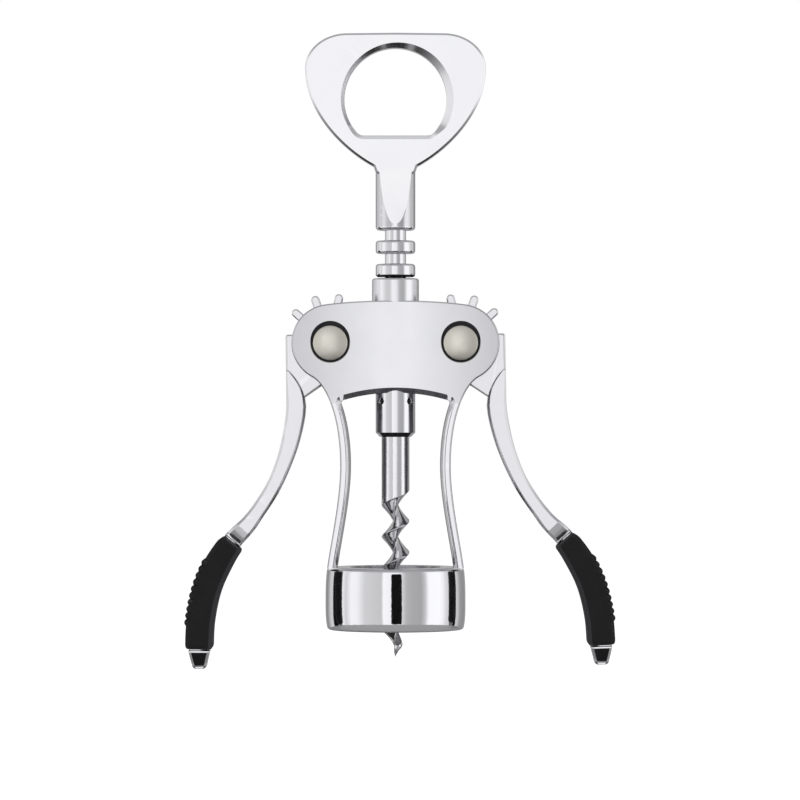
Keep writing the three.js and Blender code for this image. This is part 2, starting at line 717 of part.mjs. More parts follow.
// The blade's edge on the right: a flare out of the stem, the widest point, a round corner and a flat top.
function headOutline() {
  const root = new THREE.Vector2(0, bladeBottom);
  const spot = ([out, up]) => new THREE.Vector2(out * HEAD_HALF_WIDTH, bladeBottom + up * BLADE_HEIGHT);
  const flare = new THREE.CubicBezierCurve(...FLARE_SHARES.map(spot));
  const corner = new THREE.CubicBezierCurve(...CORNER_SHARES.map(spot));
  const right = [
    ...corner.getPoints(CURVE_STEPS).reverse(),
    ...flare.getPoints(1.5 * CURVE_STEPS).reverse().slice(1),
    ...TENON_SHARES.map(([out, up]) => new THREE.Vector2(out, up).multiplyScalar(SPINDLE_RADIUS).add(root)),
  ];
  return new THREE.Shape([...mirrored(right), spot([0, 1]), ...right]);
}

// The crown-cap hole: a circle with a straight lip across its foot, and rounded corners between them.
function capHoleOutline() {
  const centre = bladeBottom + BLADE_HEIGHT - CAP_HOLE_TOP_WALL - CAP_HOLE_RADIUS;
  const lip = centre - CAP_LIP_DROP;
  const cornerHeight = CAP_LIP_DROP - CAP_CORNER_ROUND;
  const cornerX = Math.sqrt((CAP_HOLE_RADIUS - CAP_CORNER_ROUND) ** 2 - cornerHeight ** 2);
  const touch = Math.atan2(-cornerHeight, cornerX);
  const shape = new THREE.Shape();
  shape.absarc(0, centre, CAP_HOLE_RADIUS, touch, Math.PI - touch, false);
  shape.absarc(-cornerX, lip + CAP_CORNER_ROUND, CAP_CORNER_ROUND, Math.PI - touch, 3 * quarter, false);
  shape.absarc(cornerX, lip + CAP_CORNER_ROUND, CAP_CORNER_ROUND, -quarter, touch, false);
  return shape;
}

// The stem seen from the side: full thickness at its foot, flats that close in to the blade's thickness.
function stemSides() {
  const flatFrom = bladeBottom - STEM_FLAT_LENGTH;
  const blade = HEAD_THICKNESS / 2 - STEM_INSET;
  const [bendOut, bendDown] = STEM_FLAT_SHARES;
  const bend = THREE.MathUtils.lerp(blade, SPINDLE_RADIUS, bendOut);
  const wide = SPINDLE_RADIUS + OVERRUN;
  const right = [
    new THREE.Vector2(blade, bladeBottom + SPINDLE_RADIUS),
    new THREE.Vector2(blade, bladeBottom),
    new THREE.Vector2(bend, bladeBottom - bendDown * STEM_FLAT_LENGTH),
    new THREE.Vector2(SPINDLE_RADIUS, flatFrom),
    new THREE.Vector2(wide, flatFrom),
    new THREE.Vector2(wide, stemBottom - OVERRUN),
  ];
  return slab(new THREE.Shape([...mirrored(right), ...right]), 2 * wide).rotateZ(quarter);
}

function openerHead() {
  const blade = slab(headOutline(), HEAD_THICKNESS, HEAD_EDGE);
  const rod = turned([
    [0, stemBottom],
    ...roundOut(SPINDLE_RADIUS, stemBottom, STEM_ROUND),
    [SPINDLE_RADIUS, bladeBottom + SPINDLE_RADIUS / 2],
    [0, bladeBottom + SPINDLE_RADIUS / 2],
  ], ROUND_STEPS);
  const socket = NECK_RADIUS + SEAT_GAP;
  const socketTop = stemBottom + SPIGOT_LENGTH + SEAT_GAP;
  const blindHole = turned([
    [0, stemBottom - OVERRUN],
    [socket, stemBottom - OVERRUN],
    [socket, socketTop],
    [0, socketTop],
  ], SPINDLE_STEPS);
  const capHole = chamferedCutter(capHoleOutline(), HEAD_THICKNESS, CAP_HOLE_BEVEL);
  return cut(join(blade, common(rod, stemSides())), capHole, blindHole);
}

// The worm: one sharp thread whose cross-section, a cam with a single crest, turns once in each pitch.
function wormRing(height, crestAngle, depthShare, sizeShare) {
  const sides = WORM_STEPS;
  return Array.from({ length: sides }, (_, k) => {
    const angle = (k / sides) * turn + crestAngle;
    const away = Math.abs(k > sides / 2 ? k - sides : k) / (sides / 2);
    const cam = WORM_CORE_RADIUS + (SHANK_RADIUS - WORM_CORE_RADIUS) * (1 - away) ** CREST_SHARPNESS;
    const radius = sizeShare * THREE.MathUtils.lerp(SHANK_RADIUS, cam, depthShare);
    return new THREE.Vector3(radius * Math.cos(angle), radius * Math.sin(angle), height);
  });
}

function worm() {
  const shankTop = sleeveBottom + SHANK_SEAT;
  const grooveTop = sleeveBottom - SHANK_LENGTH;
  const crestAngle = (height) => (turn * (height - WORM_CREST_HEIGHT)) / WORM_PITCH;
  const rows = Math.round((WORM_STEPS * (grooveTop - wormTip)) / WORM_PITCH);
  const rings = evenShares(grooveTop, wormTip, rows).map((height) => {
    const depthShare = THREE.MathUtils.smoothstep(grooveTop - height, 0, WORM_RUNOUT);
    const left = Math.min(1, (height - wormTip) / WORM_TAPER_LENGTH);
    const size = 1 - (1 - left) ** POINT_SHARPNESS;
    return wormRing(height, crestAngle(height), depthShare, Math.max(size, WORM_POINT_RADIUS / SHANK_RADIUS));
  });
  return loft([wormRing(shankTop, crestAngle(grooveTop), 0, 1), ...rings].reverse());
}

// Finishes
const chrome = { color: 0xd4d5d8, roughness: 0.12, metalness: 1 };
const polishedSteel = { color: 0xc9cacc, roughness: 0.16, metalness: 1 };
const satinNickel = { color: 0xbdb9ac, roughness: 0.38, metalness: 1 };
const blackRubber = { color: 0x17181a, roughness: 0.62, metalness: 0 };

function piece(name, geometry, finish) {
  const mesh = new THREE.Mesh(geometry, new THREE.MeshStandardMaterial(finish));
  mesh.name = name;
  return mesh;
}

// A lever with its grip. The left one is the same casting, turned half round the worm's axis.
// The play between fingers and discs lets one lever hang a little lower than the other.
function wing(side, angle, raised) {
  const pivot = new THREE.Group();
  pivot.position.set(pivotX, 0, PIVOT_HEIGHT);
  pivot.rotation.y = -raised;
  pivot.add(piece(`${side}_lever`, lever(), chrome), piece(`${side}_grip`, grip(), blackRubber));
  const group = new THREE.Group();
  group.rotation.z = angle;
  group.add(pivot);
  return group;
}

function rivet(side, x) {
  const group = new THREE.Group();
  group.position.set(x, 0, PIVOT_HEIGHT);
  group.add(
    piece(`${side}_pivot_pin`, rivetFront(), satinNickel),
    piece(`${side}_pin_sleeve`, rivetRear(), satinNickel),
  );
  return group;
}

const corkscrew = new THREE.Group();
corkscrew.add(
  piece('frame', frameCasting(), chrome),
  piece('rack_spindle', rackSpindle(), chrome),
  piece('opener_head', openerHead(), chrome),
  piece('worm', worm(), polishedSteel),
  wing('right', 0, LEVER_PLAY),
  wing('left', Math.PI, -LEVER_PLAY),
  rivet('right', pivotX),
  rivet('left', -pivotX),
);

export default corkscrew;
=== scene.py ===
# %% [markdown]
# # A winged corkscrew
#
# Two cast levers with gear fingers lift a ring rack through a cast frame. The rack carries a
# worm, and the handle on top is a crown-cap opener. Nearly everything is chromed metal, so the
# look depends on clean curves, soft edges and what the metal has round it to reflect.
#
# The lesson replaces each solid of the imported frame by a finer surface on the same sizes. All
# lengths are written in millimetres, as on a workshop drawing, and become metres in one place.

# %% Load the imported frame
import json
import math

import bmesh
import bpy
import numpy as np
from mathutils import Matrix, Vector, geometry

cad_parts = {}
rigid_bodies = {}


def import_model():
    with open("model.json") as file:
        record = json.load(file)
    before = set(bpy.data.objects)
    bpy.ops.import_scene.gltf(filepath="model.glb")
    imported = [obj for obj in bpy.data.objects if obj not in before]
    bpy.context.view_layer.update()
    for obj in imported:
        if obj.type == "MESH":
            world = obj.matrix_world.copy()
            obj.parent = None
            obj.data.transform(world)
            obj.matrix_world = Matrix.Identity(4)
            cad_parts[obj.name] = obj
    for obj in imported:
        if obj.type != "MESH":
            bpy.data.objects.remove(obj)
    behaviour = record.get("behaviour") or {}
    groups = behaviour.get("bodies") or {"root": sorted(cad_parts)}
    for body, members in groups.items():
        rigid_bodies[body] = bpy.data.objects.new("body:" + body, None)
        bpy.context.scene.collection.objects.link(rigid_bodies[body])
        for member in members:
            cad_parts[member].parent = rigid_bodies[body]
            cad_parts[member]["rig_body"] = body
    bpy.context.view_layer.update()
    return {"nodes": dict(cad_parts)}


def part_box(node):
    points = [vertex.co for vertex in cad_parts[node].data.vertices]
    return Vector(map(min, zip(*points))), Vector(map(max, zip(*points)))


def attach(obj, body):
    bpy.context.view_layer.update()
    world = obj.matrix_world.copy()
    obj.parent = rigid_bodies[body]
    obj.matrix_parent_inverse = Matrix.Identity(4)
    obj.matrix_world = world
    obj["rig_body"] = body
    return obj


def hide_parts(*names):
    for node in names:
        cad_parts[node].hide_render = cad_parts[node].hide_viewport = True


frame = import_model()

MM = 0.001
TURN = 2 * np.pi

# %% [markdown]
# ## The camera
#
# The object is seen straight from the front, with the lens a little below the middle of the
# plates. A long lens far away keeps the sides of the bell and the head free of perspective.

# %% Camera
CAMERA_DISTANCE = 1300
VIEW_WIDTH = 224
VIEW_CENTRE_X = 1.26
VIEW_CENTRE_HEIGHT = 64.26
SENSOR_WIDTH = 36

camera_data = bpy.data.cameras.new("camera")
camera_data.sensor_width = SENSOR_WIDTH
camera_data.lens = SENSOR_WIDTH * CAMERA_DISTANCE / VIEW_WIDTH
camera = bpy.data.objects.new("camera", camera_data)
camera.location = (VIEW_CENTRE_X * MM, -CAMERA_DISTANCE * MM, VIEW_CENTRE_HEIGHT * MM)
camera.rotation_euler = (math.pi / 2, 0, 0)
bpy.context.scene.collection.objects.link(camera)
bpy.context.scene.camera = camera
print("focal length in mm:", round(camera_data.lens, 1))

# %% [markdown]
# ## Surfaces from formulas
#
# A surface with two parameters is a grid of points. Four neighbours make one face, and a grid
# can close on itself in either direction, as round a ring. Corners that fall on one spot, at a
# pole or along a seam, are merged afterwards, which leaves one closed skin.


# %% Grids, fills and meshes
SAME_SPOT, MERGE_DISTANCE = 1e-7, 0.0004
TINY = 1e-12


def grid_patch(points, wrap_rows=False, wrap_columns=False):
    """Quads over a grid: corner (i, j) joins (i, j+1), (i+1, j+1) and (i+1, j)."""
    points = np.asarray(points, float)
    rows, columns = points.shape[:2]
    i = np.arange(rows if wrap_rows else rows - 1)[:, None]
    j = np.arange(columns if wrap_columns else columns - 1)[None, :]
    below, right = (i + 1) % rows, (j + 1) % columns
    quads = np.stack(np.broadcast_arrays(
        i * columns + j, i * columns + right, below * columns + right, below * columns + j), -1)
    return points.reshape(-1, 3), quads.reshape(-1, 4).tolist()


def is_inside(spots, loops):
    """A spot is inside when a ray to the right crosses the loops an odd number of times."""
    crossings = np.zeros(len(spots), int)
    for loop in loops:
        a, b = loop, np.roll(loop, -1, axis=0)
        x, z = spots[:, :1], spots[:, 1:]
        spans = (a[:, 1] > z) != (b[:, 1] > z)
        rise = np.where(a[:, 1] == b[:, 1], 1, b[:, 1] - a[:, 1])
        meets = a[:, 0] + (z - a[:, 1]) / rise * (b[:, 0] - a[:, 0])
        crossings += (spans & (x < meets)).sum(1)
    return crossings % 2 == 1


def rungs_at(corners, edges, height):
    """Pairs of corners on either side of a strip of metal, where the drawing passes a height."""
    a, b = np.array(edges).T
    crosses = (corners[a, 1] >= height) != (corners[b, 1] >= height)
    upper = np.where(corners[a, 1] >= height, a, b)[crosses]
    ordered = upper[np.argsort(corners[upper, 0])]
    return [(int(p), int(q)) for p, q in zip(ordered[::2], ordered[1::2])]


def fill_patch(loops, depth_at, side, rungs=()):
    """Triangles over a drawing in X and Z, at y = side times the depth at that spot. Rungs are
    heights where the drawing is tied across, so that no triangle leaves a level part for a
    sloping one."""
    corners = np.concatenate(loops)
    starts = np.cumsum([0] + [len(loop) for loop in loops])
    edges = [(int(s + k), int(s + (k + 1) % len(loop)))
             for s, loop in zip(starts, loops) for k in range(len(loop))]
    edges += [pair for height in rungs for pair in rungs_at(corners, edges, height)]
    spots, _, faces, *_ = geometry.delaunay_2d_cdt(
        [Vector(c) for c in corners], edges, [], 0, SAME_SPOT)
    spots = np.array([tuple(s) for s in spots])
    faces = np.array(faces)
    kept = faces[is_inside(spots[faces].mean(1), loops)]
    y = side * depth_at(spots[:, 0], spots[:, 1])
    return np.stack([spots[:, 0], y, spots[:, 1]], -1), kept.tolist()


def piece_from(name, patches):
    """One object from patches in millimetres: corners merged, faces turned outwards."""
    points = np.concatenate([p for p, _ in patches]) * MM
    starts = np.cumsum([0] + [len(p) for p, _ in patches])
    faces = [[int(c + start) for c in face]
             for start, (_, patch_faces) in zip(starts, patches) for face in patch_faces]
    mesh = bpy.data.meshes.new(name)
    mesh.from_pydata(points.tolist(), [], faces)
    shell = bmesh.new()
    shell.from_mesh(mesh)
    bmesh.ops.remove_doubles(shell, verts=shell.verts, dist=MERGE_DISTANCE * MM)
    bmesh.ops.recalc_face_normals(shell, faces=shell.faces)
    shell.to_mesh(mesh)
    shell.free()
    piece = bpy.data.objects.new(name, mesh)
    bpy.context.scene.collection.objects.link(piece)
    return piece


# %% [markdown]
# ## Lines with rounded corners
#
# Cast and turned metal has no knife edges. A corner of a drawing is replaced by a small arc
# that touches both of its sides, and the arc is what catches the light along an edge.


# %% Rounded lines and curves
STRAIGHT = math.pi / 2 - 1e-3


def rounded(corners, radii, steps=6, closed=False):
    """A line whose corners become arcs. Each arc leaves its sides at radius / tan(half the
    corner's angle) from the corner, and its centre lies on the bisector. A corner that is
    straight, or whose radius is 0, stays as it is."""
    corners = [np.asarray(c, float) for c in corners]
    radii = radii if hasattr(radii, "__len__") else [radii] * len(corners)
    out = []
    for k, (corner, radius) in enumerate(zip(corners, radii)):
        if radius <= 0 or (not closed and k in (0, len(corners) - 1)):
            out.append(corner[None])
            continue
        u = corners[k - 1] - corner
        v = corners[(k + 1) % len(corners)] - corner
        u, v = u / np.linalg.norm(u), v / np.linalg.norm(v)
        half = math.acos(np.clip(u @ v, -1, 1)) / 2
        if half > STRAIGHT:
            out.append(corner[None])
            continue
        centre = corner + (u + v) / np.linalg.norm(u + v) * radius / math.sin(half)
        reach = radius / math.tan(half)
        first, last = corner + u * reach - centre, corner + v * reach - centre
        sweep = math.pi - 2 * half
        t = np.linspace(0, 1, steps + 1)[:, None]
        bow = (np.sin((1 - t) * sweep) * first + np.sin(t * sweep) * last) / math.sin(sweep)
        out.append(centre + bow)
    return np.concatenate(out)


def bezier(points, steps):
    """The curve of four control points: (1-t)^3 a + 3(1-t)^2 t b + 3(1-t) t^2 c + t^3 d."""
    a, b, c, d = (np.asarray(p, float) for p in points)
    t = np.linspace(0, 1, steps + 1)[:, None]
    return (1 - t) ** 3 * a + 3 * (1 - t) ** 2 * t * b + 3 * (1 - t) * t ** 2 * c + t ** 3 * d


def short_bezier(a, pull, b, steps):
    """The curve of three control points: (1-t)^2 a + 2(1-t) t pull + t^2 b."""
    t = np.linspace(0, 1, steps + 1)[:, None]
    return (1 - t) ** 2 * a + 2 * (1 - t) * t * pull + t ** 2 * b


def arc(centre, radius, start, end, steps):
    """Points centre + radius (cos a, sin a), with a running from start to end."""
    a = np.linspace(start, end, steps + 1)
    return np.stack([centre[0] + radius * np.cos(a), centre[1] + radius * np.sin(a)], -1)


def smoothstep(x, low, high):
    """3t^2 - 2t^3, with t running from 0 at low to 1 at high."""
    t = np.clip((np.asarray(x, float) - low) / (high - low), 0, 1)
    return t * t * (3 - 2 * t)


# %% [markdown]
# ## Turned pieces and slabs
#
# Two families cover most of the object. A turned piece is a profile of radius and height
# carried round an axis. A slab is a drawing with thickness: its edge is a small profile carried
# along the outline, and its two faces are flat fills.


# %% Lathe and slab
def turned(profile, steps):
    """x = r cos a, y = r sin a, z = h, with (r, h) along the profile and a round the axis."""
    profile = np.asarray(profile, float)
    a = np.linspace(0, TURN, steps, endpoint=False)
    r, h = profile[:, :1], profile[:, 1:]
    grid = np.stack([r * np.cos(a), r * np.sin(a), h + 0 * a], -1)
    return grid_patch(grid, wrap_columns=True)


def turned_across(profile, steps, x, z):
    """The same about the Y axis through (x, z), with heights running to the back."""
    points, faces = turned(profile, steps)
    return np.stack([points[:, 0] + x, points[:, 2], points[:, 1] + z], -1), faces


SHARPEST = 0.3


def inset(loop, distance):
    """Each corner moves into the material by distance along its bisector. Loops have the
    material on their left. The bisector is the sum of both sides' normals over 1 + their dot,
    which a sharp corner doesn't bring to nothing."""
    ahead = np.roll(loop, -1, axis=0) - loop
    ahead /= np.maximum(np.linalg.norm(ahead, axis=1, keepdims=True), TINY)
    normal = np.stack([-ahead[:, 1], ahead[:, 0]], -1)
    before = np.roll(normal, 1, axis=0)
    share = np.maximum(1 + (normal * before).sum(1, keepdims=True), SHARPEST)
    return loop + distance * (normal + before) / share


def inset_line(loop, distance):
    """A drawing moved into its material. A drawing can bring its own formula for that."""
    return loop(distance.item()) if callable(loop) else inset(loop, distance)


def round_edge(radius, steps=5):
    """Rows of (inset, drop below the face) for a quarter round, from the wall to the face."""
    t = np.linspace(0, np.pi / 2, steps + 1)
    return np.stack([radius * (1 - np.cos(t)), radius * (1 - np.sin(t))], -1)


def bevel_edge(width, drop, soft, steps=4):
    """The same for a bevel of a width on the face and a drop on the wall, with soft corners."""
    corners = [(0, drop + 2 * soft), (0, drop), (width, 0), (width + 2 * soft, 0)]
    return rounded(corners, soft, steps)[1:-1]


def chamfer_edge(size, soft, steps=4):
    """A bevel as wide as it is deep."""
    return bevel_edge(size, size, soft, steps)


def slab(outline, holes, half_depth, edge, hole_edges=(), rungs=()):
    """Closed skin of a slab: strips round every loop from the back face to the front face,
    and both faces filled. half_depth gives half the thickness at (x, z). An edge profile is
    one row of (inset, drop) after another, or one such list for every corner of the loop. A
    loop may be a function from the inset to the line."""
    depth_at = half_depth if callable(half_depth) else (lambda x, z: half_depth + 0 * x)
    loops = [outline, *holes]
    edges = [edge, *(hole_edges or [edge] * len(holes))]
    patches, rims = [], []
    for loop, rows in zip(loops, edges):
        strip = []
        for side, ordered in ((1, rows[::-1]), (-1, rows)):
            for distance, drop in zip(ordered[..., :1], ordered[..., 1]):
                line = inset_line(loop, distance)
                y = side * (depth_at(line[:, 0], line[:, 1]) - drop)
                strip.append(np.stack([line[:, 0], y, line[:, 1]], -1))
        patches.append(grid_patch(strip, wrap_columns=True))
        rims.append(inset_line(loop, rows[-1][..., :1]))
    patches += [fill_patch(rims, depth_at, side, rungs) for side in (1, -1)]
    return patches


# %% [markdown]
# ## Joining and cutting
#
# One casting often needs a bore or a slot. The exact boolean modifier cuts a closed skin with
# another one, and the result is stored as the piece's own mesh. Then edges sharper than a limit
# stay crisp, and a weighted normal modifier keeps flat faces flat beside their rounded edges.


# %% Boolean and finish helpers
SHARP_ANGLE, FLAT_ANGLE = math.radians(32), math.radians(0.05)


def combine(piece, cutter, operation):
    """The piece with the cutter added or taken away. The cutter is used up."""
    modifier = piece.modifiers.new(operation.lower(), "BOOLEAN")
    modifier.operation, modifier.object, modifier.solver = operation, cutter, "EXACT"
    seen = piece.evaluated_get(bpy.context.evaluated_depsgraph_get())
    mesh = bpy.data.meshes.new_from_object(seen)
    piece.modifiers.clear()
    old, piece.data = piece.data, mesh
    bpy.data.meshes.remove(old)
    mesh.name = piece.name
    bpy.data.objects.remove(cutter)
    return piece


def cut(piece, *shapes):
    """The piece without what lies inside each of the closed shapes."""
    for k, patches in enumerate(shapes):
        combine(piece, piece_from(f"cutter_{k}", patches), "DIFFERENCE")
    return piece


def add(piece, *shapes):
    """The piece joined with each of the closed shapes."""
    for k, patches in enumerate(shapes):
        combine(piece, piece_from(f"part_{k}", patches), "UNION")
    return piece


def smooth(piece, limit=SHARP_ANGLE):
    """Coplanar faces become one, all are smooth, edges above the limit stay crisp, and the
    normals are weighted by the faces' areas."""
    shell = bmesh.new()
    shell.from_mesh(piece.data)
    bmesh.ops.dissolve_limit(shell, angle_limit=FLAT_ANGLE, verts=shell.verts,
                             edges=shell.edges, delimit={"MATERIAL"})
    shell.to_mesh(piece.data)
    shell.free()
    piece.data.shade_smooth()
    piece.data.set_sharp_from_angle(angle=limit)
    weighted = piece.modifiers.new("weighted_normal", "WEIGHTED_NORMAL")
    weighted.keep_sharp = True
    return piece


def moved(patches, turn=0.0, shift=(0, 0, 0), half_turn=False):
    """Patches turned about Y by an angle, shifted, then turned half round Z."""
    c, s = math.cos(turn), math.sin(turn)
    out = []
    for points, faces in patches:
        x, y, z = points.T
        p = np.stack([c * x + s * z, y, -s * x + c * z], -1) + np.asarray(shift, float)
        out.append((p * [-1, -1, 1] if half_turn else p, faces))
    return out


def settle(piece, material, cad_node):
    """The piece takes its finish, rides on its CAD node's body, and stands for that node."""
    piece.data.materials.clear()
    piece.data.materials.append(material)
    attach(piece, frame["nodes"][cad_node]["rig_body"])
    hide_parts(cad_node)
    faces = len(piece.data.polygons)
    low, high = (np.array(c) / MM for c in (piece.bound_box[0], piece.bound_box[6]))
    print(f"{piece.name}: {faces} faces, {np.round(low, 2)} to {np.round(high, 2)} mm")
    return piece


# %% [markdown]
# ## Finishes
#
# Chrome is a mirror with small faults: a cast part is polished by hand, so its surface waves a
# little, and the polish is finer on edges than in hollows. Each metal reads Object coordinates,
# so nothing slides when a part moves. Effects that several metals share are node groups.


# %% Node helpers
def new_group(name, inputs, outputs):
    """An empty shader group with sockets given as (name, kind, value)."""
    group = bpy.data.node_groups.new(name, "ShaderNodeTree")
    for title, kind, value in inputs:
        socket = group.interface.new_socket(name=title, in_out="INPUT", socket_type=kind)
        socket.default_value = value
    for title, kind in outputs:
        group.interface.new_socket(name=title, in_out="OUTPUT", socket_type=kind)
    return group, group.nodes.new("NodeGroupInput"), group.nodes.new("NodeGroupOutput")


def node(tree, kind, links=(), **values):
    """A node with its settings, and links given as (input, output socket)."""
    made = tree.nodes.new(kind)
    for key, value in values.items():
        setattr(made, key, value)
    for key, value in links:
        if isinstance(value, bpy.types.NodeSocket):
            tree.links.new(value, made.inputs[key])
        else:
            made.inputs[key].default_value = value
    return made
FLOAT = "NodeSocketFloat"


def maths(tree, operation, *values):
    """The result of one sum on sockets or plain numbers."""
    return node(tree, "ShaderNodeMath", enumerate(values), operation=operation).outputs[0]


def share_between(tree, value, low, high, **settings):
    """0 where the value is at or below low, 1 at or above high, and the share in between."""
    links = [("Value", value), ("From Min", low), ("From Max", high)]
    return node(tree, "ShaderNodeMapRange", links, **settings).outputs["Result"]


def mixed(tree, share, first, second):
    """Two colours mixed by a share. Each is a socket, or red, green and blue."""
    colours = [c if isinstance(c, bpy.types.NodeSocket) else (*c, 1) for c in (first, second)]
    links = [("Factor", share), ("A", colours[0]), ("B", colours[1])]
    return node(tree, "ShaderNodeMix", links, data_type="RGBA").outputs["Result"]


def new_material(name, **sockets):
    """A material, its tree and its shader, with plain values on the shader's own sockets."""
    material = bpy.data.materials.new(name)
    material.use_nodes = True
    shader = material.node_tree.nodes["Principled BSDF"]
    for key, value in sockets.items():
        shader.inputs[key.replace("_", " ")].default_value = value
    return material, material.node_tree, shader


# %% Shared effect: waves and grain of polished metal
def polish_group():
    """Height of slow waves left by the polishing wheel, plus a fine grain."""
    group, inputs, outputs = new_group(
        "polish_waves",
        [("Wave Size", FLOAT, 90.0), ("Wave Height", FLOAT, 1.0),
         ("Grain Size", FLOAT, 1400.0), ("Grain Height", FLOAT, 0.02)],
        [("Height", FLOAT)])
    place = node(group, "ShaderNodeTexCoord").outputs["Object"]
    wave = node(group, "ShaderNodeTexNoise",
                [("Vector", place), ("Scale", inputs.outputs["Wave Size"]), ("Detail", 1.0)])
    grain = node(group, "ShaderNodeTexNoise",
                 [("Vector", place), ("Scale", inputs.outputs["Grain Size"]), ("Detail", 2.0)])
    high = maths(group, "MULTIPLY", wave.outputs["Fac"], inputs.outputs["Wave Height"])
    whole = maths(group, "MULTIPLY_ADD", grain.outputs["Fac"], inputs.outputs["Grain Height"],
                  high)
    group.links.new(whole, outputs.inputs["Height"])
    return group


POLISH = polish_group()


# %% Shared effect: haze that varies over a surface
def haze_group():
    """Roughness between a low and a high value, mixed by two sizes of noise."""
    group, inputs, outputs = new_group(
        "handling_haze",
        [("Low", FLOAT, 0.08), ("High", FLOAT, 0.16), ("Size", FLOAT, 160.0)],
        [("Roughness", FLOAT)])
    place = node(group, "ShaderNodeTexCoord").outputs["Object"]
    cloud = node(group, "ShaderNodeTexNoise",
                 [("Vector", place), ("Scale", inputs.outputs["Size"]), ("Detail", 5.0),
                  ("Roughness", 0.62)])
    spread = node(group, "ShaderNodeMapRange",
                  [("Value", cloud.outputs["Fac"]), ("From Min", 0.3), ("From Max", 0.7),
                   ("To Min", inputs.outputs["Low"]), ("To Max", inputs.outputs["High"])])
    group.links.new(spread.outputs["Result"], outputs.inputs["Roughness"])
    return group


HAZE = haze_group()


# %% Shared effect: edge wear
def edge_group():
    """A mask that is 1 on convex edges and 0 on flats, from the curvature of the mesh."""
    group, inputs, outputs = new_group(
        "worn_edges", [("Start", FLOAT, 0.52), ("End", FLOAT, 0.62)], [("Mask", FLOAT)])
    bend = node(group, "ShaderNodeNewGeometry").outputs["Pointiness"]
    mask = share_between(group, bend, inputs.outputs["Start"], inputs.outputs["End"])
    group.links.new(mask, outputs.inputs["Mask"])
    return group


EDGES = edge_group()


# %% Metals
def group_node(tree, group, output, **values):
    """The output of a shared effect, with the values it has in this material."""
    links = [(key.replace("_", " "), value) for key, value in values.items()]
    return node(tree, "ShaderNodeGroup", links, node_tree=group).outputs[output]


def dress(tree, shader, colour, roughness, height, strength, distance):
    """The three textures of a finish go to the shader: colour, roughness and a bump."""
    bump = node(tree, "ShaderNodeBump",
                [("Height", height), ("Strength", strength), ("Distance", distance)])
    tree.links.new(colour, shader.inputs["Base Color"])
    tree.links.new(roughness, shader.inputs["Roughness"])
    tree.links.new(bump.outputs["Normal"], shader.inputs["Normal"])


def metal(name, colour, edge_colour, low, high, haze_size, wave_height, wave_size=90.0,
          grain_height=0.02, grain_size=1400.0, strength=0.25):
    """Polished metal: colour lifted on its edges, hazy roughness, waves as a bump."""
    material, tree, shader = new_material(name, Metallic=1.0)
    waves = group_node(tree, POLISH, "Height", Wave_Size=wave_size, Wave_Height=wave_height,
                       Grain_Size=grain_size, Grain_Height=grain_height)
    haze = group_node(tree, HAZE, "Roughness", Low=low, High=high, Size=haze_size)
    tint = mixed(tree, group_node(tree, EDGES, "Mask"), colour, edge_colour)
    dress(tree, shader, tint, haze, waves, strength, 1.0 * MM)
    return material


# Colour on flats and on edges, lowest and highest roughness, scale of the haze, wave height.
PLATE_CHROME = metal("plate_chrome", (0.89, 0.89, 0.91), (0.89, 0.89, 0.91), 0.2, 0.27, 120, 0.05)
BELL_CHROME = metal("bell_chrome", (0.88, 0.88, 0.90), (0.92, 0.92, 0.94), 0.03, 0.06, 120, 0.02)
# Painted shade: a dark grey metal for the straps' inner walls.
PAINTED_WINDOW_SHADE = metal("painted_window_shade", (0.23, 0.23, 0.24), (0.30, 0.30, 0.31), 0.45, 0.55, 300, 0.05)
# A rougher chrome, painted darker as shade, for the straps' rounded outer edges.
ROUGH_PAINTED_EDGE_SHADE = metal("rough_painted_edge_shade", (0.62, 0.62, 0.64), (0.70, 0.70, 0.72), 0.14, 0.22, 160, 0.05)
STRAP_CHROME = metal("strap_chrome", (0.88, 0.88, 0.90), (0.92, 0.92, 0.94), 0.07, 0.12, 160, 0.05)
# Painted shade: a darker, rougher chrome for the chamfer over the window.
PAINTED_ARCH_SHADE = metal("painted_arch_shade", (0.30, 0.30, 0.32), (0.40, 0.40, 0.42), 0.25, 0.34, 300, 0.05)
# Painted shade: a rough, near-black metal for the rivet seats, the bore, the gear chambers, the
# sleeve's dimples and the rings' undersides.
PAINTED_RECESS_SHADE = metal("painted_recess_shade", (0.05, 0.05, 0.055), (0.08, 0.08, 0.085), 0.5, 0.62, 300, 0.05)
HEAD_CHROME = metal("head_chrome", (0.93, 0.93, 0.95), (0.95, 0.95, 0.96), 0.14, 0.2, 120, 0.03)
# Painted shade: a darker copy of the head's chrome for the stem's round sides.
PAINTED_STEM_SHADE = metal("painted_stem_shade", (0.74, 0.74, 0.76), (0.82, 0.82, 0.84), 0.14, 0.2, 120, 0.03)
LEVER_CHROME = metal("lever_chrome", (0.82, 0.82, 0.84), (0.90, 0.90, 0.92), 0.12, 0.19, 120, 0.04)
TURNED_CHROME = metal("turned_chrome", (0.86, 0.86, 0.88), (0.93, 0.93, 0.95), 0.03, 0.06, 200,
                      0.02)
WORM_STEEL = metal("worm_steel", (0.86, 0.86, 0.88), (0.95, 0.95, 0.96), 0.04, 0.1, 500, 0.11,
                   wave_size=760.0)
RIVET_NICKEL = metal("rivet_nickel", (0.82, 0.79, 0.71), (0.86, 0.84, 0.78), 0.3, 0.4, 400, 0.02)


# Painted shade: the darker tint that the plates are mixed towards at their sides.
PAINTED_LOBE_SHADE = (0.64, 0.64, 0.66)


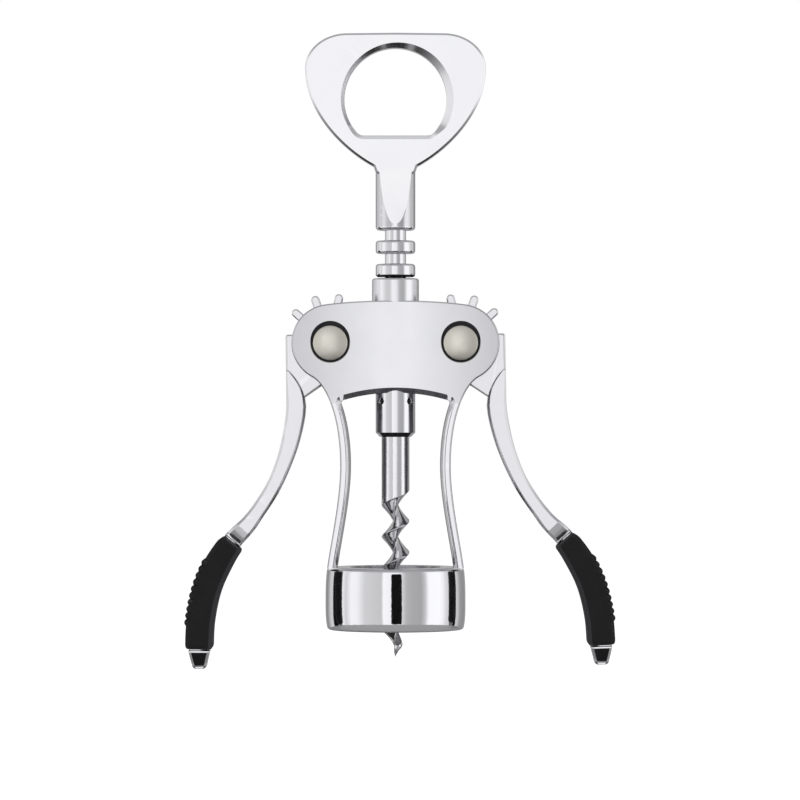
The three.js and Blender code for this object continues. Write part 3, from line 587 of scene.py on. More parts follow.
def paint_lobe_shade(material, middle=0.004, lobes=0.027, foot=0.056, waist=0.066):
    """Painted shade: the plates' tint is mixed with a darker one by |x|, from the middle towards
    the lobes, and only above the straps, so the middle looks brighter. The places are in metres,
    as Object coordinates are."""
    tree = material.node_tree
    shader = tree.nodes["Principled BSDF"]
    tint = shader.inputs["Base Color"].links[0].from_socket
    place = node(tree, "ShaderNodeSeparateXYZ",
                 [("Vector", node(tree, "ShaderNodeTexCoord").outputs["Object"])])
    aside = share_between(tree, maths(tree, "ABSOLUTE", place.outputs["X"]), middle, lobes)
    above = share_between(tree, place.outputs["Z"], foot, waist)
    shaded_tint = mixed(tree, maths(tree, "MULTIPLY", aside, above), tint, PAINTED_LOBE_SHADE)
    tree.links.new(shaded_tint, shader.inputs["Base Color"])


paint_lobe_shade(PLATE_CHROME)


# %% Rubber
def rubber(name, shade, edge_shade):
    """Black grip rubber: dull grain, a little lighter where hands have rubbed the edges."""
    material, tree, shader = new_material(name, Specular_IOR_Level=0.16)
    place = node(tree, "ShaderNodeTexCoord").outputs["Object"]
    grain = node(tree, "ShaderNodeTexNoise",
                 [("Vector", place), ("Scale", 2600.0), ("Detail", 3.0)])
    haze = group_node(tree, HAZE, "Roughness", Low=0.42, High=0.6, Size=260)
    edges = group_node(tree, EDGES, "Mask", Start=0.5, End=0.6)
    tint = mixed(tree, edges, (shade, shade, shade * 1.1),
                 (edge_shade, edge_shade, edge_shade * 1.06))
    dress(tree, shader, tint, haze, grain.outputs["Fac"], 0.25, 0.2 * MM)
    return material


GRIP_RUBBER = rubber("grip_rubber", 0.008, 0.024)
# Painted sheen: a lighter rubber for the grips' inner bevel.
PAINTED_SHEEN_RUBBER = rubber("painted_sheen_rubber", 0.036, 0.045)

# %% [markdown]
# ## Sizes shared by the pieces
#
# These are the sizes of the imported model. Where a node's box gives one, it is read from the box
# and not typed again, so that the fine pieces sit exactly where the frame has them.

# %% Sizes
RUN_GAP, SEAT_GAP, OVERRUN = 0.3, 0.25, 1.5
SPINDLE_RADIUS, NECK_RADIUS, SHANK_RADIUS = 5.55, 2.95, 3.9
RACK_PITCH, DISC_HALF, DISC_COUNT = 6.52, 1.85, 6
MESHED_DISC_RISE, RAISED_DISC_COUNT = 0.73, 4
TEETH_PER_TURN, ADDENDUM, MESH_DEPTH = 12, 1.4, 1.2
TOOTH_TIP = TEETH_PER_TURN * RACK_PITCH / TURN + ADDENDUM
PIVOT_HEIGHT = 80.2
PIVOT_X = TOOTH_TIP + SPINDLE_RADIUS - MESH_DEPTH
BORE_RADIUS = SPINDLE_RADIUS + SEAT_GAP
COLLAR_WALL = 0.8
COLLAR_RADIUS = BORE_RADIUS + COLLAR_WALL
HALF_HOUSING = COLLAR_RADIUS
LOBE_RADIUS, CROWN_RISE = 10.8, 1
PLATE_TOP = PIVOT_HEIGHT + LOBE_RADIUS + CROWN_RISE
COLLAR_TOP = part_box("frame")[1].z / MM
WINDOW_TOP_DROP = 25.7
WINDOW_TOP = PLATE_TOP - WINDOW_TOP_DROP
TOP_DISC = PIVOT_HEIGHT + MESHED_DISC_RISE + RAISED_DISC_COUNT * RACK_PITCH
SLEEVE_TOP = TOP_DISC - DISC_COUNT * RACK_PITCH + DISC_HALF
SLEEVE_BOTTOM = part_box("rack_spindle")[0].z / MM
STEM_LENGTH, SPIGOT_LENGTH = 17.5, 8
STEM_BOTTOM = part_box("opener_head")[0].z / MM
BLADE_BOTTOM = STEM_BOTTOM + STEM_LENGTH
HALF_GEAR, ARM_EDGE, ARM_TOP_WIDTH = 2.9, 12.5, 5.4
ARM_INNER = ARM_EDGE - ARM_TOP_WIDTH + RUN_GAP
SHOULDER_TOP, SHOULDER_FOOT = 6.7, 15.2
RIVET_TUBE_RADIUS, COUNTERBORE_RADIUS, COUNTERBORE_DEPTH = 2.6, 5.45, 1.2
BELL_STEPS, SPINDLE_STEPS, COLLAR_STEPS, RIVET_STEPS = 192, 176, 128, 96
print("pivot at x", round(PIVOT_X, 3), "top disc at", round(TOP_DISC, 2))

# %% [markdown]
# ## The frame casting
#
# Two face plates hold the pivots, narrow into two straps, and end on the bell. It is one
# casting, so it is built as one slab with a window, then the collar and the bell are added and
# the gear slots, the bore and the rivet seats are cut. The straps grow thinner from front to
# back as they near the bell, which the slab's depth function takes care of.

# %% Strap and window outlines
LOBE_FROM, LOBE_TO = math.radians(82), math.radians(-62)
WAIST = np.array([15.4, 45.8])
BELL_HEIGHT, BELL_RADIUS = 17.5, 19.6
FOOT_SETBACK, FOOT_TAPER, FOOT_SINK = 0.55, 1.5, 3
FOOT = np.array([BELL_RADIUS - FOOT_SETBACK, BELL_HEIGHT])
STRAP_WIDTH = 2.9
STRAP_FOOT_SHARE = 10.4 / 13.2
STRAP_TOP = WINDOW_TOP - STRAP_WIDTH
WINDOW_ARCH_RADIUS, WINDOW_CORNER_ROUND = 52, 0.8
LOBE_PULL, WAIST_PULL = 0.18, 0.56

towards = np.array([math.cos(LOBE_TO), math.sin(LOBE_TO)])
lobe_end = np.array([PIVOT_X, PIVOT_HEIGHT]) + LOBE_RADIUS * towards
fall, drop = lobe_end[1] - WAIST[1], WAIST[1] - FOOT[1]
upper_edge = bezier([lobe_end, lobe_end + LOBE_PULL * fall * np.array([towards[1], -towards[0]]),
                     WAIST + [0, WAIST_PULL * fall], WAIST], 60)
lower_edge = bezier([WAIST, WAIST - [0, drop / 3],
                     [(WAIST[0] + 3 * FOOT[0]) / 4, FOOT[1] + drop / 4], FOOT], 40)


def arch_height(x):
    """The window's upper edge: a circle of the arch's radius that tops out at the window's top."""
    return WINDOW_TOP - WINDOW_ARCH_RADIUS + np.sqrt(WINDOW_ARCH_RADIUS ** 2 - x ** 2)


def casting_loop():
    """One drawing with the metal on its left: down the left side, up inside the left strap,
    along the window's arch, down inside the right strap, and up the right side. The second
    result is 1 along the window and 0 along the outside."""
    lobe = arc((PIVOT_X, PIVOT_HEIGHT), LOBE_RADIUS, LOBE_FROM, LOBE_TO, 60)
    crown_top, start = np.array([0, PLATE_TOP]), lobe[0]
    bend = np.array([start[0] - (PLATE_TOP - start[1]) * math.tan(LOBE_FROM), PLATE_TOP])
    crown = short_bezier(crown_top, bend, start, 24)
    outer = np.concatenate([crown[1:-1], lobe, upper_edge[1:], lower_edge[1:],
                            [FOOT - [FOOT_TAPER, FOOT_SINK]]])
    edge = np.concatenate([upper_edge, lower_edge[1:]]) - [STRAP_WIDTH, 0]
    below = edge[edge[:, 1] < arch_height(edge[:, 0])]
    x = np.linspace(0, below[0, 0], 24)[:-1]
    top = np.stack([x, arch_height(x)], -1)
    corner = rounded([top[-1], (below[0, 0], arch_height(below[0, 0])), below[3]],
                     WINDOW_CORNER_ROUND, 5)
    inner = np.concatenate([top[1:-1], corner, below[4:], [FOOT - [STRAP_WIDTH, FOOT_SINK]]])
    flip = [-1, 1]
    loop = np.concatenate([[crown_top], outer * flip, (inner * flip)[::-1], top[:1],
                           inner, outer[::-1]])
    is_window = np.concatenate([np.zeros(1 + len(outer)), np.ones(2 * len(inner) + 1),
                                np.zeros(len(outer))])
    return loop, is_window


def strap_depth(x, z):
    """Half the housing's depth, narrowing by a smooth step from the window's top to the bell."""
    narrowing = (STRAP_FOOT_SHARE - 1) * (1 - smoothstep(z, BELL_HEIGHT, STRAP_TOP))
    return HALF_HOUSING * (1 + narrowing)


casting, is_window = casting_loop()
print("casting drawing:", len(casting), "corners")


# %% Cutters and additions
SWEEP_FROM, SWEEP_TO = math.radians(-98), math.radians(78)
CRESCENT_RADIUS, CRESCENT_RISE, CRESCENT_DEPTH = 5.5, 0.62, 0.8
MOUTH_RADIUS, MOUTH_FLARE, MOUTH_DEPTH, MOUTH_DRAFT = 15.5, 1.2, 9.5, 0.5
CORK_HOLE_RADIUS = 12.7
COLLAR_ROUND, HAIRLINE = 0.7, 0.03


def gear_slot(half_turn):
    """Chamber for a lever's gear: a round pocket, wider where the web swings through it."""
    pocket = TOOTH_TIP + RUN_GAP
    sweep = math.hypot(ARM_INNER, SHOULDER_FOOT) + 2 * RUN_GAP
    loop = np.concatenate([
        arc((PIVOT_X, PIVOT_HEIGHT), sweep, SWEEP_FROM, SWEEP_TO, 60),
        arc((PIVOT_X, PIVOT_HEIGHT), pocket, SWEEP_TO, SWEEP_FROM + TURN, 60)])
    no_bevel = np.array([[0.0, 0.0]])
    return moved(slab(loop, [], HALF_GEAR + RUN_GAP, no_bevel), half_turn=half_turn)


def rivet_seat(half_turn):
    """The rivet's hole with a softly chamfered counterbore on each face."""
    bore, soft = RIVET_TUBE_RADIUS + SEAT_GAP, 0.15
    face, floor = HALF_HOUSING, HALF_HOUSING - COUNTERBORE_DEPTH
    flare = COUNTERBORE_RADIUS + soft + OVERRUN
    half = [(0, -face - OVERRUN), (flare, -face - OVERRUN), (COUNTERBORE_RADIUS, -face + soft),
            (COUNTERBORE_RADIUS, -floor), (bore, -floor)]
    profile = half + [(r, -h) for r, h in half[::-1]]
    return moved([turned_across(profile, RIVET_STEPS, PIVOT_X, PIVOT_HEIGHT)], half_turn=half_turn)


def seat_crescent(half_turn, side):
    """A shallower second sinking a little higher up. It shows as a crescent over the rivet."""
    above, floor = side * (HALF_HOUSING + OVERRUN), side * (HALF_HOUSING - CRESCENT_DEPTH)
    profile = [(0, above), (CRESCENT_RADIUS, above), (CRESCENT_RADIUS, floor), (0, floor)]
    sinking = turned_across(profile, RIVET_STEPS, PIVOT_X, PIVOT_HEIGHT + CRESCENT_RISE)
    return moved([sinking], half_turn=half_turn)


def bell_cavity():
    """The bottle's mouth, open below, and the cork's hole above it, as one turned plug."""
    wide = MOUTH_RADIUS + MOUTH_FLARE + OVERRUN
    profile = [(0, -OVERRUN), (wide, -OVERRUN), (MOUTH_RADIUS, MOUTH_FLARE),
               (MOUTH_RADIUS - MOUTH_DRAFT, MOUTH_DEPTH), (CORK_HOLE_RADIUS, MOUTH_DEPTH),
               (CORK_HOLE_RADIUS, BELL_HEIGHT + OVERRUN), (0, BELL_HEIGHT + OVERRUN)]
    return [turned(rounded(profile, [0, 0, 0.6, 0.6, 0, 0, 0], 4), BELL_STEPS)]


def bell_body():
    """A barrel with rounded rims: radius R - b |s|^3, with s running from -1 at the lower rim
    through 0 at the widest height to 1 at the upper rim. Each rim carries on at the wall's last
    slope, so that a reflection runs over it without a kink."""
    widest, barrel, edge = 7.3, 0.33, 1.35
    lower_round, upper_round = 0.8 * edge, 0.88 * edge
    s = np.linspace(-1, 1, 33)
    reach = np.where(s < 0, widest - edge, BELL_HEIGHT - edge - widest)
    wall = np.stack([BELL_RADIUS - barrel * np.abs(s) ** 3, widest + s * reach], -1)
    low, high = wall[[0, -1], 0] - 3 * barrel * edge / reach[[0, -1]]
    top = rounded([wall[-1], (high, BELL_HEIGHT), (0, BELL_HEIGHT)], [0, upper_round, 0], 12)
    base = rounded([(0, 0), (low, 0), wall[0]], [0, lower_round, 0], 12)
    return [turned(np.concatenate([base, wall[1:-1], top]), BELL_STEPS)]


def collar():
    """A turned rod over the plates, a hairline inside their faces so that no two faces meet."""
    radius, low = COLLAR_RADIUS - HAIRLINE, WINDOW_TOP + STRAP_WIDTH
    profile = [(0, low), (radius, low), (radius, COLLAR_TOP), (0, COLLAR_TOP)]
    return [turned(rounded(profile, [0, 0, COLLAR_ROUND, 0], 6), COLLAR_STEPS)]


def bore():
    """The rack's way through the plates and the collar."""
    low, high = WINDOW_TOP - OVERRUN, COLLAR_TOP + OVERRUN
    profile = [(0, low), (BORE_RADIUS, low), (BORE_RADIUS, high), (0, high)]
    return [turned(profile, COLLAR_STEPS)]


# %% Build the casting
# Inset and drop from the window's wall to the strap's face: a steep flank, a soft shoulder, and
# the fine groove where the two halves of the mould met.
STRAP_EDGE = np.array([
    (0.00, 1.90), (0.28, 1.09), (0.50, 0.45), (0.56, 0.30), (0.64, 0.17), (0.74, 0.07),
    (0.86, 0.015), (0.98, 0.0), (1.14, 0.0), (1.20, 0.06), (1.27, 0.16), (1.34, 0.06),
    (1.40, 0.0), (1.50, 0.0)])
GROOVE_ROWS = slice(9, 12)
GROOVE_FROM, GROOVE_TO, GROOVE_GROWTH = 20, 34, 2.2
EDGE_ROUND, WINDOW_CHAMFER = 0.5, 1.4


def casting_edges():
    """Outside edges are quarter rounds. The window has a chamfer along its arch and the strap's
    edge below it. Towards the bell the groove grows deeper, unevenly: its depth is multiplied by
    1 + growth (0.65 + 0.35 sin 5.3 z sin 2.1 z). All shrink in the feet that the bell hides."""
    height = casting[:, 1]
    plain = round_edge(EDGE_ROUND, 13)[:, None]
    arch = chamfer_edge(WINDOW_CHAMFER, 0.12, 6)[:, None]
    strap = np.repeat(STRAP_EDGE[:, None], len(casting), 1)
    ripple = 0.65 + 0.35 * np.sin(height * 5.3) * np.sin(height * 2.1)
    lower = 1 - smoothstep(height, GROOVE_FROM, GROOVE_TO)
    strap[GROOVE_ROWS, :, 1] *= 1 + GROOVE_GROWTH * lower * ripple
    below = (1 - smoothstep(height, STRAP_TOP - 3, STRAP_TOP))[None, :, None]
    window = arch * (1 - below) + strap * below
    share = is_window[None, :, None]
    hidden = (0.2 + 0.8 * smoothstep(height, FOOT[1] - FOOT_SINK, FOOT[1]))[None, :, None]
    return (plain * (1 - share) + window * share) * hidden


strap_rungs = np.linspace(STRAP_TOP, BELL_HEIGHT - 2, 60)
casting_piece = piece_from("frame_casting", slab(casting, [], strap_depth, casting_edges(),
                                                 rungs=strap_rungs))
add(casting_piece, collar(), bell_body())
cut(casting_piece, bell_cavity(), bore(), gear_slot(False), gear_slot(True),
    rivet_seat(False), rivet_seat(True),
    *(seat_crescent(half_turn, side) for half_turn in (False, True) for side in (1, -1)))
smooth(casting_piece)
settle(casting_piece, PLATE_CHROME, "frame")

# %% [markdown]
# The plates have a satin face and the bell is buffed to a mirror. The rivet seats, the bore and
# the gear chambers are rough and painted near-black as shade. The straps' inner walls and the
# chamfer over the window are painted darker as shade, and the straps' outer roundings are rougher
# and painted darker as shade. Each zone is a test on a face's place and normal.


# %% Zones of the casting
def zone(piece, chosen, material):
    """Faces whose centre and normal fit the test get another material."""
    faces = len(piece.data.polygons)
    centres, normals = np.empty(faces * 3, np.float32), np.empty(faces * 3, np.float32)
    places = np.empty(faces, np.int32)
    piece.data.polygons.foreach_get("center", centres)
    piece.data.polygons.foreach_get("normal", normals)
    piece.data.polygons.foreach_get("material_index", places)
    picked = chosen(*(centres.reshape(-1, 3).T / MM), *normals.reshape(-1, 3).T)
    piece.data.materials.append(material)
    places[picked] = len(piece.data.materials) - 1
    piece.data.polygons.foreach_set("material_index", places)
    print(f"{piece.name}: {picked.sum()} faces in {material.name}")


# A normal's share along Y is below the first on a wall, and above the second on a face.
WALL, FACE = 0.1, 0.96
SEAT_REACH, CHAMBER_REACH, CHAMBER_HALF = 5.53, 17.6, 3.21
CORK_HOLE_REACH, MOUTH_REACH, STEP_HEIGHT = 12.8, 16.9, 9.4


def in_recess(x, y, z, *_):
    """Inside a rivet seat, in the bore, or between the plates within a gear's reach."""
    from_pivot = np.hypot(np.abs(x) - PIVOT_X, z - PIVOT_HEIGHT)
    from_crescent = np.hypot(np.abs(x) - PIVOT_X, z - PIVOT_HEIGHT - CRESCENT_RISE)
    seat = (np.minimum(from_pivot, from_crescent) < SEAT_REACH) & (np.abs(y) < HALF_HOUSING - 0.1)
    chamber = (from_pivot < CHAMBER_REACH) & (np.abs(y) < CHAMBER_HALF) & (z > WINDOW_TOP)
    hole = (np.hypot(x, y) < BORE_RADIUS + 0.01) & (z > WINDOW_TOP - 1)
    return seat | chamber | hole


def on_bell(x, y, z, *_):
    """Everything below the bell's top, except its inside."""
    inside = np.hypot(x, y) < np.where(z > STEP_HEIGHT, CORK_HOLE_REACH, MOUTH_REACH)
    return (z < BELL_HEIGHT + 0.02) & ~(inside & (z > 0.02))


# These faces get painted shade.
def on_arch(x, y, z, nx, ny, nz):
    """The chamfer over the window, which faces down and out."""
    faces_down_and_out = (nz < -0.45) & (np.abs(ny) > 0.3)
    return faces_down_and_out & (z > STRAP_TOP) & (np.abs(x) < 16) & (np.abs(y) > 5)


def on_strap(x, y, z, *_):
    """Between the bell and the plates."""
    return (z > BELL_HEIGHT) & (z < STRAP_TOP)


def inside_window(x, y, z, nx, ny, nz):
    """The straps' walls that face each other, painted dark grey as shade."""
    faces_inwards = (np.abs(ny) < WALL) & (nx * x < 0) & (np.abs(y) < 1)
    return on_strap(x, y, z) & faces_inwards & (np.hypot(x, y) > 9)


def outer_rounding(x, y, z, nx, ny, nz):
    """The straps' rounded outer edges: a rougher chrome, painted darker than their fronts as shade.
    """
    on_edge = (nx * x > 0) & (np.abs(ny) > WALL) & (np.abs(ny) < FACE)
    return on_strap(x, y, z) & on_edge & (np.hypot(x, y) > 9)


# The bell and the straps get their own polish. The other zones are painted shade: darker copies of
# the chrome.
for chosen, finish in ((on_bell, BELL_CHROME), (on_strap, STRAP_CHROME),
                       (outer_rounding, ROUGH_PAINTED_EDGE_SHADE), (inside_window, PAINTED_WINDOW_SHADE),
                       (on_arch, PAINTED_ARCH_SHADE), (in_recess, PAINTED_RECESS_SHADE)):
    zone(casting_piece, chosen, finish)

# %% [markdown]
# ## The ring rack
#
# The rack is a rod with grooves all round, so it drives the gears at any angle of the handle.
# It is one lathe profile. The four staking dimples that hold the worm are not turned, so they
# are pressed into the finished skin: every point of the sleeve that lies inside a ball moves in
# to the ball's surface.


# %% Rack profile and dimples
SHANK_SEAT, SLEEVE_CHAMFER = 11.25, 1.2
DIMPLE_RADIUS, DIMPLE_DEPTH, DIMPLE_DROP = 1.1, 0.45, 5.8


def rack_profile():
    """Sleeve with its bore, then six discs on a neck, and the spigot that the head sits on."""
    shank_bore, low, high = SHANK_RADIUS + SEAT_GAP, SLEEVE_BOTTOM, STEM_BOTTOM + SPIGOT_LENGTH
    corners = [(0, low + SHANK_SEAT), (shank_bore, low + SHANK_SEAT), (shank_bore, low),
               (4.4, low), (SPINDLE_RADIUS, low + SLEEVE_CHAMFER),
               (SPINDLE_RADIUS, SLEEVE_TOP), (NECK_RADIUS, SLEEVE_TOP)]
    radii = [0, 0, 0.12, 0.1, 0.3, 0.6, 0.15]
    for disc in range(DISC_COUNT - 1, -1, -1):
        middle = TOP_DISC - disc * RACK_PITCH
        under, over = middle - DISC_HALF, middle + DISC_HALF
        corners += [(NECK_RADIUS, under), (SPINDLE_RADIUS, under),
                    (SPINDLE_RADIUS, over), (NECK_RADIUS, over)]
        radii += [0.15, 0.85, 0.85, 0.15]
    corners += [(NECK_RADIUS, high), (0, high)]
    line = rounded(corners, radii + [0.2, 0], 5)
    # The sleeve's wall gets rows that are close enough for the dimples.
    rows = np.linspace(low + 1.7, SLEEVE_TOP - 0.7, 90)
    seam = int(np.argmax((line[:, 0] > SPINDLE_RADIUS - 1e-6) & (line[:, 1] > low + 1.0)))
    sleeve = np.stack([np.full(len(rows), SPINDLE_RADIUS), rows], -1)
    return np.concatenate([line[:seam + 1], sleeve, line[seam + 1:]])


def dimpled(points):
    """Along a ray at angle d from a dimple, the ball of radius b with its centre at distance c
    is met at c cos d - sqrt(b^2 - (c sin d)^2 - dz^2). The skin moves in to that distance."""
    centre = SPINDLE_RADIUS - DIMPLE_DEPTH + DIMPLE_RADIUS
    r = np.hypot(points[:, 0], points[:, 1])
    a = np.arctan2(points[:, 1], points[:, 0])
    off = (a + np.pi) % (np.pi / 2) - np.pi / 4
    rise = points[:, 2] - (SLEEVE_TOP - DIMPLE_DROP)
    inside = DIMPLE_RADIUS ** 2 - (centre * np.sin(off)) ** 2 - rise ** 2
    met = centre * np.cos(off) - np.sqrt(np.maximum(inside, 0))
    pressed = np.where((inside > 0) & (r > SPINDLE_RADIUS - 0.01), np.minimum(r, met), r)
    scale = pressed / np.maximum(r, TINY)
    return points * np.stack([scale, scale, np.ones_like(scale)], -1)


rack_points, rack_faces = turned(rack_profile(), SPINDLE_STEPS)
rack = piece_from("ring_rack", [(dimpled(rack_points), rack_faces)])
smooth(rack)
settle(rack, TURNED_CHROME, "rack_spindle")


def in_dimple(x, y, z, *_):
    """The pressed skin at the dimples' height."""
    r = np.hypot(x, y)
    at_height = np.abs(z - SLEEVE_TOP + DIMPLE_DROP) < DIMPLE_RADIUS
    return (r < SPINDLE_RADIUS - 0.1) & (r > SHANK_RADIUS + 0.7) & at_height


def under_ring(x, y, z, nx, ny, nz):
    """The underside of the rings that work in the collar, and of the sleeve."""
    shown = (z > SLEEVE_TOP - 5) | (np.abs(x) < 4)
    below = z < TOP_DISC - RACK_PITCH
    return (nz < -0.25) & (np.hypot(x, y) > 4.3) & below & shown


# Painted shade: the dimples and the undersides of the rings and the sleeve are painted near-black.
zone(rack, in_dimple, PAINTED_RECESS_SHADE)
zone(rack, under_ring, PAINTED_RECESS_SHADE)

# %% [markdown]
# ## The opener head
#
# The blade is a slab with a soft edge and a chamfered hole, whose straight lip bites under a
# cap. Its stem is a rod with two flats that close in to the blade's thickness: seen from the
# front, the flats show as a tongue with curved sides, because they cut a round rod at a slant.


# %% Blade outline and cap hole
BLADE_HEIGHT, BLADE_HALF_WIDTH, BLADE_HALF_DEPTH = 37.7, 25.3, 3.3
FLARE_SHARES = ((0.24, 0.01), (0.6, 0.14), (1, 0.42), (1, 0.74))
CORNER_SHARES = ((1, 0.74), (1, 0.87), (0.81, 0.99), (0.55, 0.996))
TENON_SHARES = ((1, -0.2), (0.7, -0.5))
HOLE_RADIUS, HOLE_TOP_WALL, LIP_DROP, LIP_CORNER_ROUND = 14.3, 4.2, 10.2, 2.6


def on_blade(share):
    """A spot given in shares of the blade's half width and of its height."""
    return np.array([share[0] * BLADE_HALF_WIDTH, BLADE_BOTTOM + share[1] * BLADE_HEIGHT])


def blade_outline():
    """Flat top, round corner, widest point, and a flare that runs into the stem."""
    flare = bezier([on_blade(share) for share in FLARE_SHARES], 70)
    corner = bezier([on_blade(share) for share in CORNER_SHARES], 50)
    tenon = np.array(TENON_SHARES) * SPINDLE_RADIUS + [0, BLADE_BOTTOM]
    right = np.concatenate([corner[::-1], flare[::-1][1:], tenon])
    return np.concatenate([[on_blade((0, 1))], right * [-1, 1], right[::-1]])


def cap_hole():
    """A circle with a straight lip across its foot and rounded corners, clockwise."""
    centre = BLADE_BOTTOM + BLADE_HEIGHT - HOLE_TOP_WALL - HOLE_RADIUS
    rise = LIP_DROP - LIP_CORNER_ROUND
    x = math.sqrt((HOLE_RADIUS - LIP_CORNER_ROUND) ** 2 - rise ** 2)
    touch = math.atan2(-rise, x)
    ring = arc((0, centre), HOLE_RADIUS, touch, math.pi - touch, 140)
    left = arc((-x, centre - rise), LIP_CORNER_ROUND, math.pi - touch, 1.5 * math.pi, 16)
    right = arc((x, centre - rise), LIP_CORNER_ROUND, -math.pi / 2, touch, 16)
    return np.concatenate([ring, left[1:], right[:-1]])[::-1]


STEM_FLAT_LENGTH, STEM_ROUND, FLAT_CURVE = 15.8, 1.0, 1.34


def stem_grid():
    """A rod cut by two flats: at height z the corner between round and flat lies at the angle
    whose sine is d / r. The arcs run from -angle to angle, the flats between them at y = d,
    and d closes in to the blade's half depth as the share of the flat's length to a power."""
    flat_from, last = BLADE_BOTTOM - STEM_FLAT_LENGTH, BLADE_HALF_DEPTH - HAIRLINE
    edge = rounded([(0, STEM_BOTTOM), (SPINDLE_RADIUS, STEM_BOTTOM), (SPINDLE_RADIUS, flat_from)],
                   [0, STEM_ROUND, 0], 8)
    z = np.concatenate([edge[:, 1], np.linspace(flat_from, BLADE_BOTTOM + 2.8, 70)[1:]])
    r = np.concatenate([edge[:, 0], np.full(69, SPINDLE_RADIUS)])
    left = np.clip((BLADE_BOTTOM - z) / STEM_FLAT_LENGTH, 0, 1)
    d = last + (SPINDLE_RADIUS - last) * left ** FLAT_CURVE
    turn = np.arcsin(np.clip(d / np.maximum(r, TINY), 0, 1))
    t = np.linspace(-1, 1, 41)
    round_x = r[:, None] * np.cos(turn[:, None] * t)
    round_y = r[:, None] * np.sin(turn[:, None] * t)
    flat_x = (r * np.cos(turn))[:, None] * np.linspace(1, -1, 21)[1:-1]
    flat_y = np.broadcast_to((r * np.sin(turn))[:, None], flat_x.shape)
    x = np.concatenate([round_x, flat_x, -round_x, -flat_x], 1)
    y = np.concatenate([round_y, flat_y, -round_y, -flat_y], 1)
    rows = np.stack([x, y, np.broadcast_to(z[:, None], x.shape)], -1)
    lid = np.broadcast_to([0, 0, z[-1]], rows[:1].shape)
    return grid_patch(np.concatenate([rows, lid]), wrap_columns=True)


def hole_edges(loop):
    """A wide bevel round the hole, flatter along the straight lip, where it keeps 0.72 of its
    width and 0.28 of its drop, and above the lip a little wider to the right."""
    low = loop[:, 1].min()
    above_lip = smoothstep(loop[:, 1], low + 0.3, low + 3.5)
    off_centre = above_lip * (0.3 * np.clip(loop[:, 0] / 10, -1, 1) - 0.05)
    width = (0.72 + 0.28 * above_lip) * (1 + off_centre)
    drop = 0.28 + 0.72 * above_lip
    return bevel_edge(1.5, 1.05, 0.12)[:, None] * np.stack([width, drop], -1)[None]


# %% Build the head
head = piece_from("opener_head_fine", slab(blade_outline(), [cap_hole()], BLADE_HALF_DEPTH,
                                           bevel_edge(0.55, 0.5, 0.12), [hole_edges(cap_hole())]))
add(head, [stem_grid()])
socket, low = NECK_RADIUS + SEAT_GAP, STEM_BOTTOM - OVERRUN
high = STEM_BOTTOM + (SPIGOT_LENGTH + SEAT_GAP)
cut(head, [turned([(0, low), (socket, low), (socket, high), (0, high)], RIVET_STEPS)])
smooth(head)
settle(head, HEAD_CHROME, "opener_head")


def on_stem(x, y, z, nx, ny, nz):
    """The round sides of the stem, left and right of the tongue."""
    round_rod = np.hypot(x, y) > SPINDLE_RADIUS - 0.04
    return round_rod & (z < BLADE_BOTTOM) & (z > STEM_BOTTOM + 1) & (np.abs(x) > 0.4)


# The stem's round sides get painted shade.
zone(head, on_stem, PAINTED_STEM_SHADE)

# %% [markdown]
# ## The worm
#
# The screw is a single sharp thread. Its cross-section is a cam with one crest, and the cam
# turns once in every pitch, so the whole screw is one surface of height and angle. It fades in
# from the round shank and comes to a point at the tip.

# %% Worm surface
WORM_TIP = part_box("worm")[0].z / MM
WORM_PITCH, CORE_RADIUS = 8.8, 0.5
GROOVE_START, RUNOUT = 39.2, 4
CREST_SHARPNESS, CREST_SOFT = 1.45, 0.0346
POINT_LENGTH, POINT_SHARPNESS, POINT_SIZE = 11.5, 2.2, 0.03


def worm_grid(around=96, rows_per_turn=44):
    """Radius at angle a and height z: shank - (shank - cam) depth, where the cam's radius is
    core + (shank - core) (1 - |a - crest| / pi)^k and the crest's angle grows with height. The
    depth depends on how high the groove's floor lies at that angle, so the groove runs out
    along its own turn. All of it is multiplied by a size that falls to nothing at the tip."""
    full = GROOVE_START + 0.6 * WORM_PITCH
    rows = int(rows_per_turn * (full - WORM_TIP) / WORM_PITCH)
    z = np.linspace(full, WORM_TIP, rows)[:, None]
    crest = TURN * (z - GROOVE_START) / WORM_PITCH
    off = np.linspace(-np.pi, np.pi, around, endpoint=False)[None, :]
    away = np.abs(off) / np.pi
    ridge = np.sqrt(away ** 2 + 0.0012) - CREST_SOFT
    share = np.clip(1 - ridge, 0, 1) ** CREST_SHARPNESS
    cam = CORE_RADIUS + (SHANK_RADIUS - CORE_RADIUS) * share
    groove_floor = z + np.where(off < 0, 1 - away, away - 1) * WORM_PITCH / 2
    depth = smoothstep(GROOVE_START + 0.2 - groove_floor, 0, RUNOUT)
    left = np.minimum(1, (z - WORM_TIP) / POINT_LENGTH)
    size = np.maximum(1 - (1 - left) ** POINT_SHARPNESS, POINT_SIZE)
    r = size * (SHANK_RADIUS + (cam - SHANK_RADIUS) * depth)
    a = off + crest
    thread = np.stack([r * np.cos(a), r * np.sin(a), z + 0 * a], -1)
    shank_top = SLEEVE_BOTTOM + 11
    neck = np.stack([SHANK_RADIUS * np.cos(a[:1]), SHANK_RADIUS * np.sin(a[:1]), 0 * a[:1]], -1)
    upper = [neck * [0, 0, 1] + [0, 0, shank_top], neck + [0, 0, shank_top],
             neck + [0, 0, (shank_top + full) / 2]]
    end = np.broadcast_to([0, 0, WORM_TIP], thread[:1].shape)
    return grid_patch(np.concatenate([*upper, thread, end]), wrap_columns=True)


worm = piece_from("worm_fine", [worm_grid()])
smooth(worm, math.radians(50))
settle(worm, WORM_STEEL, "worm")

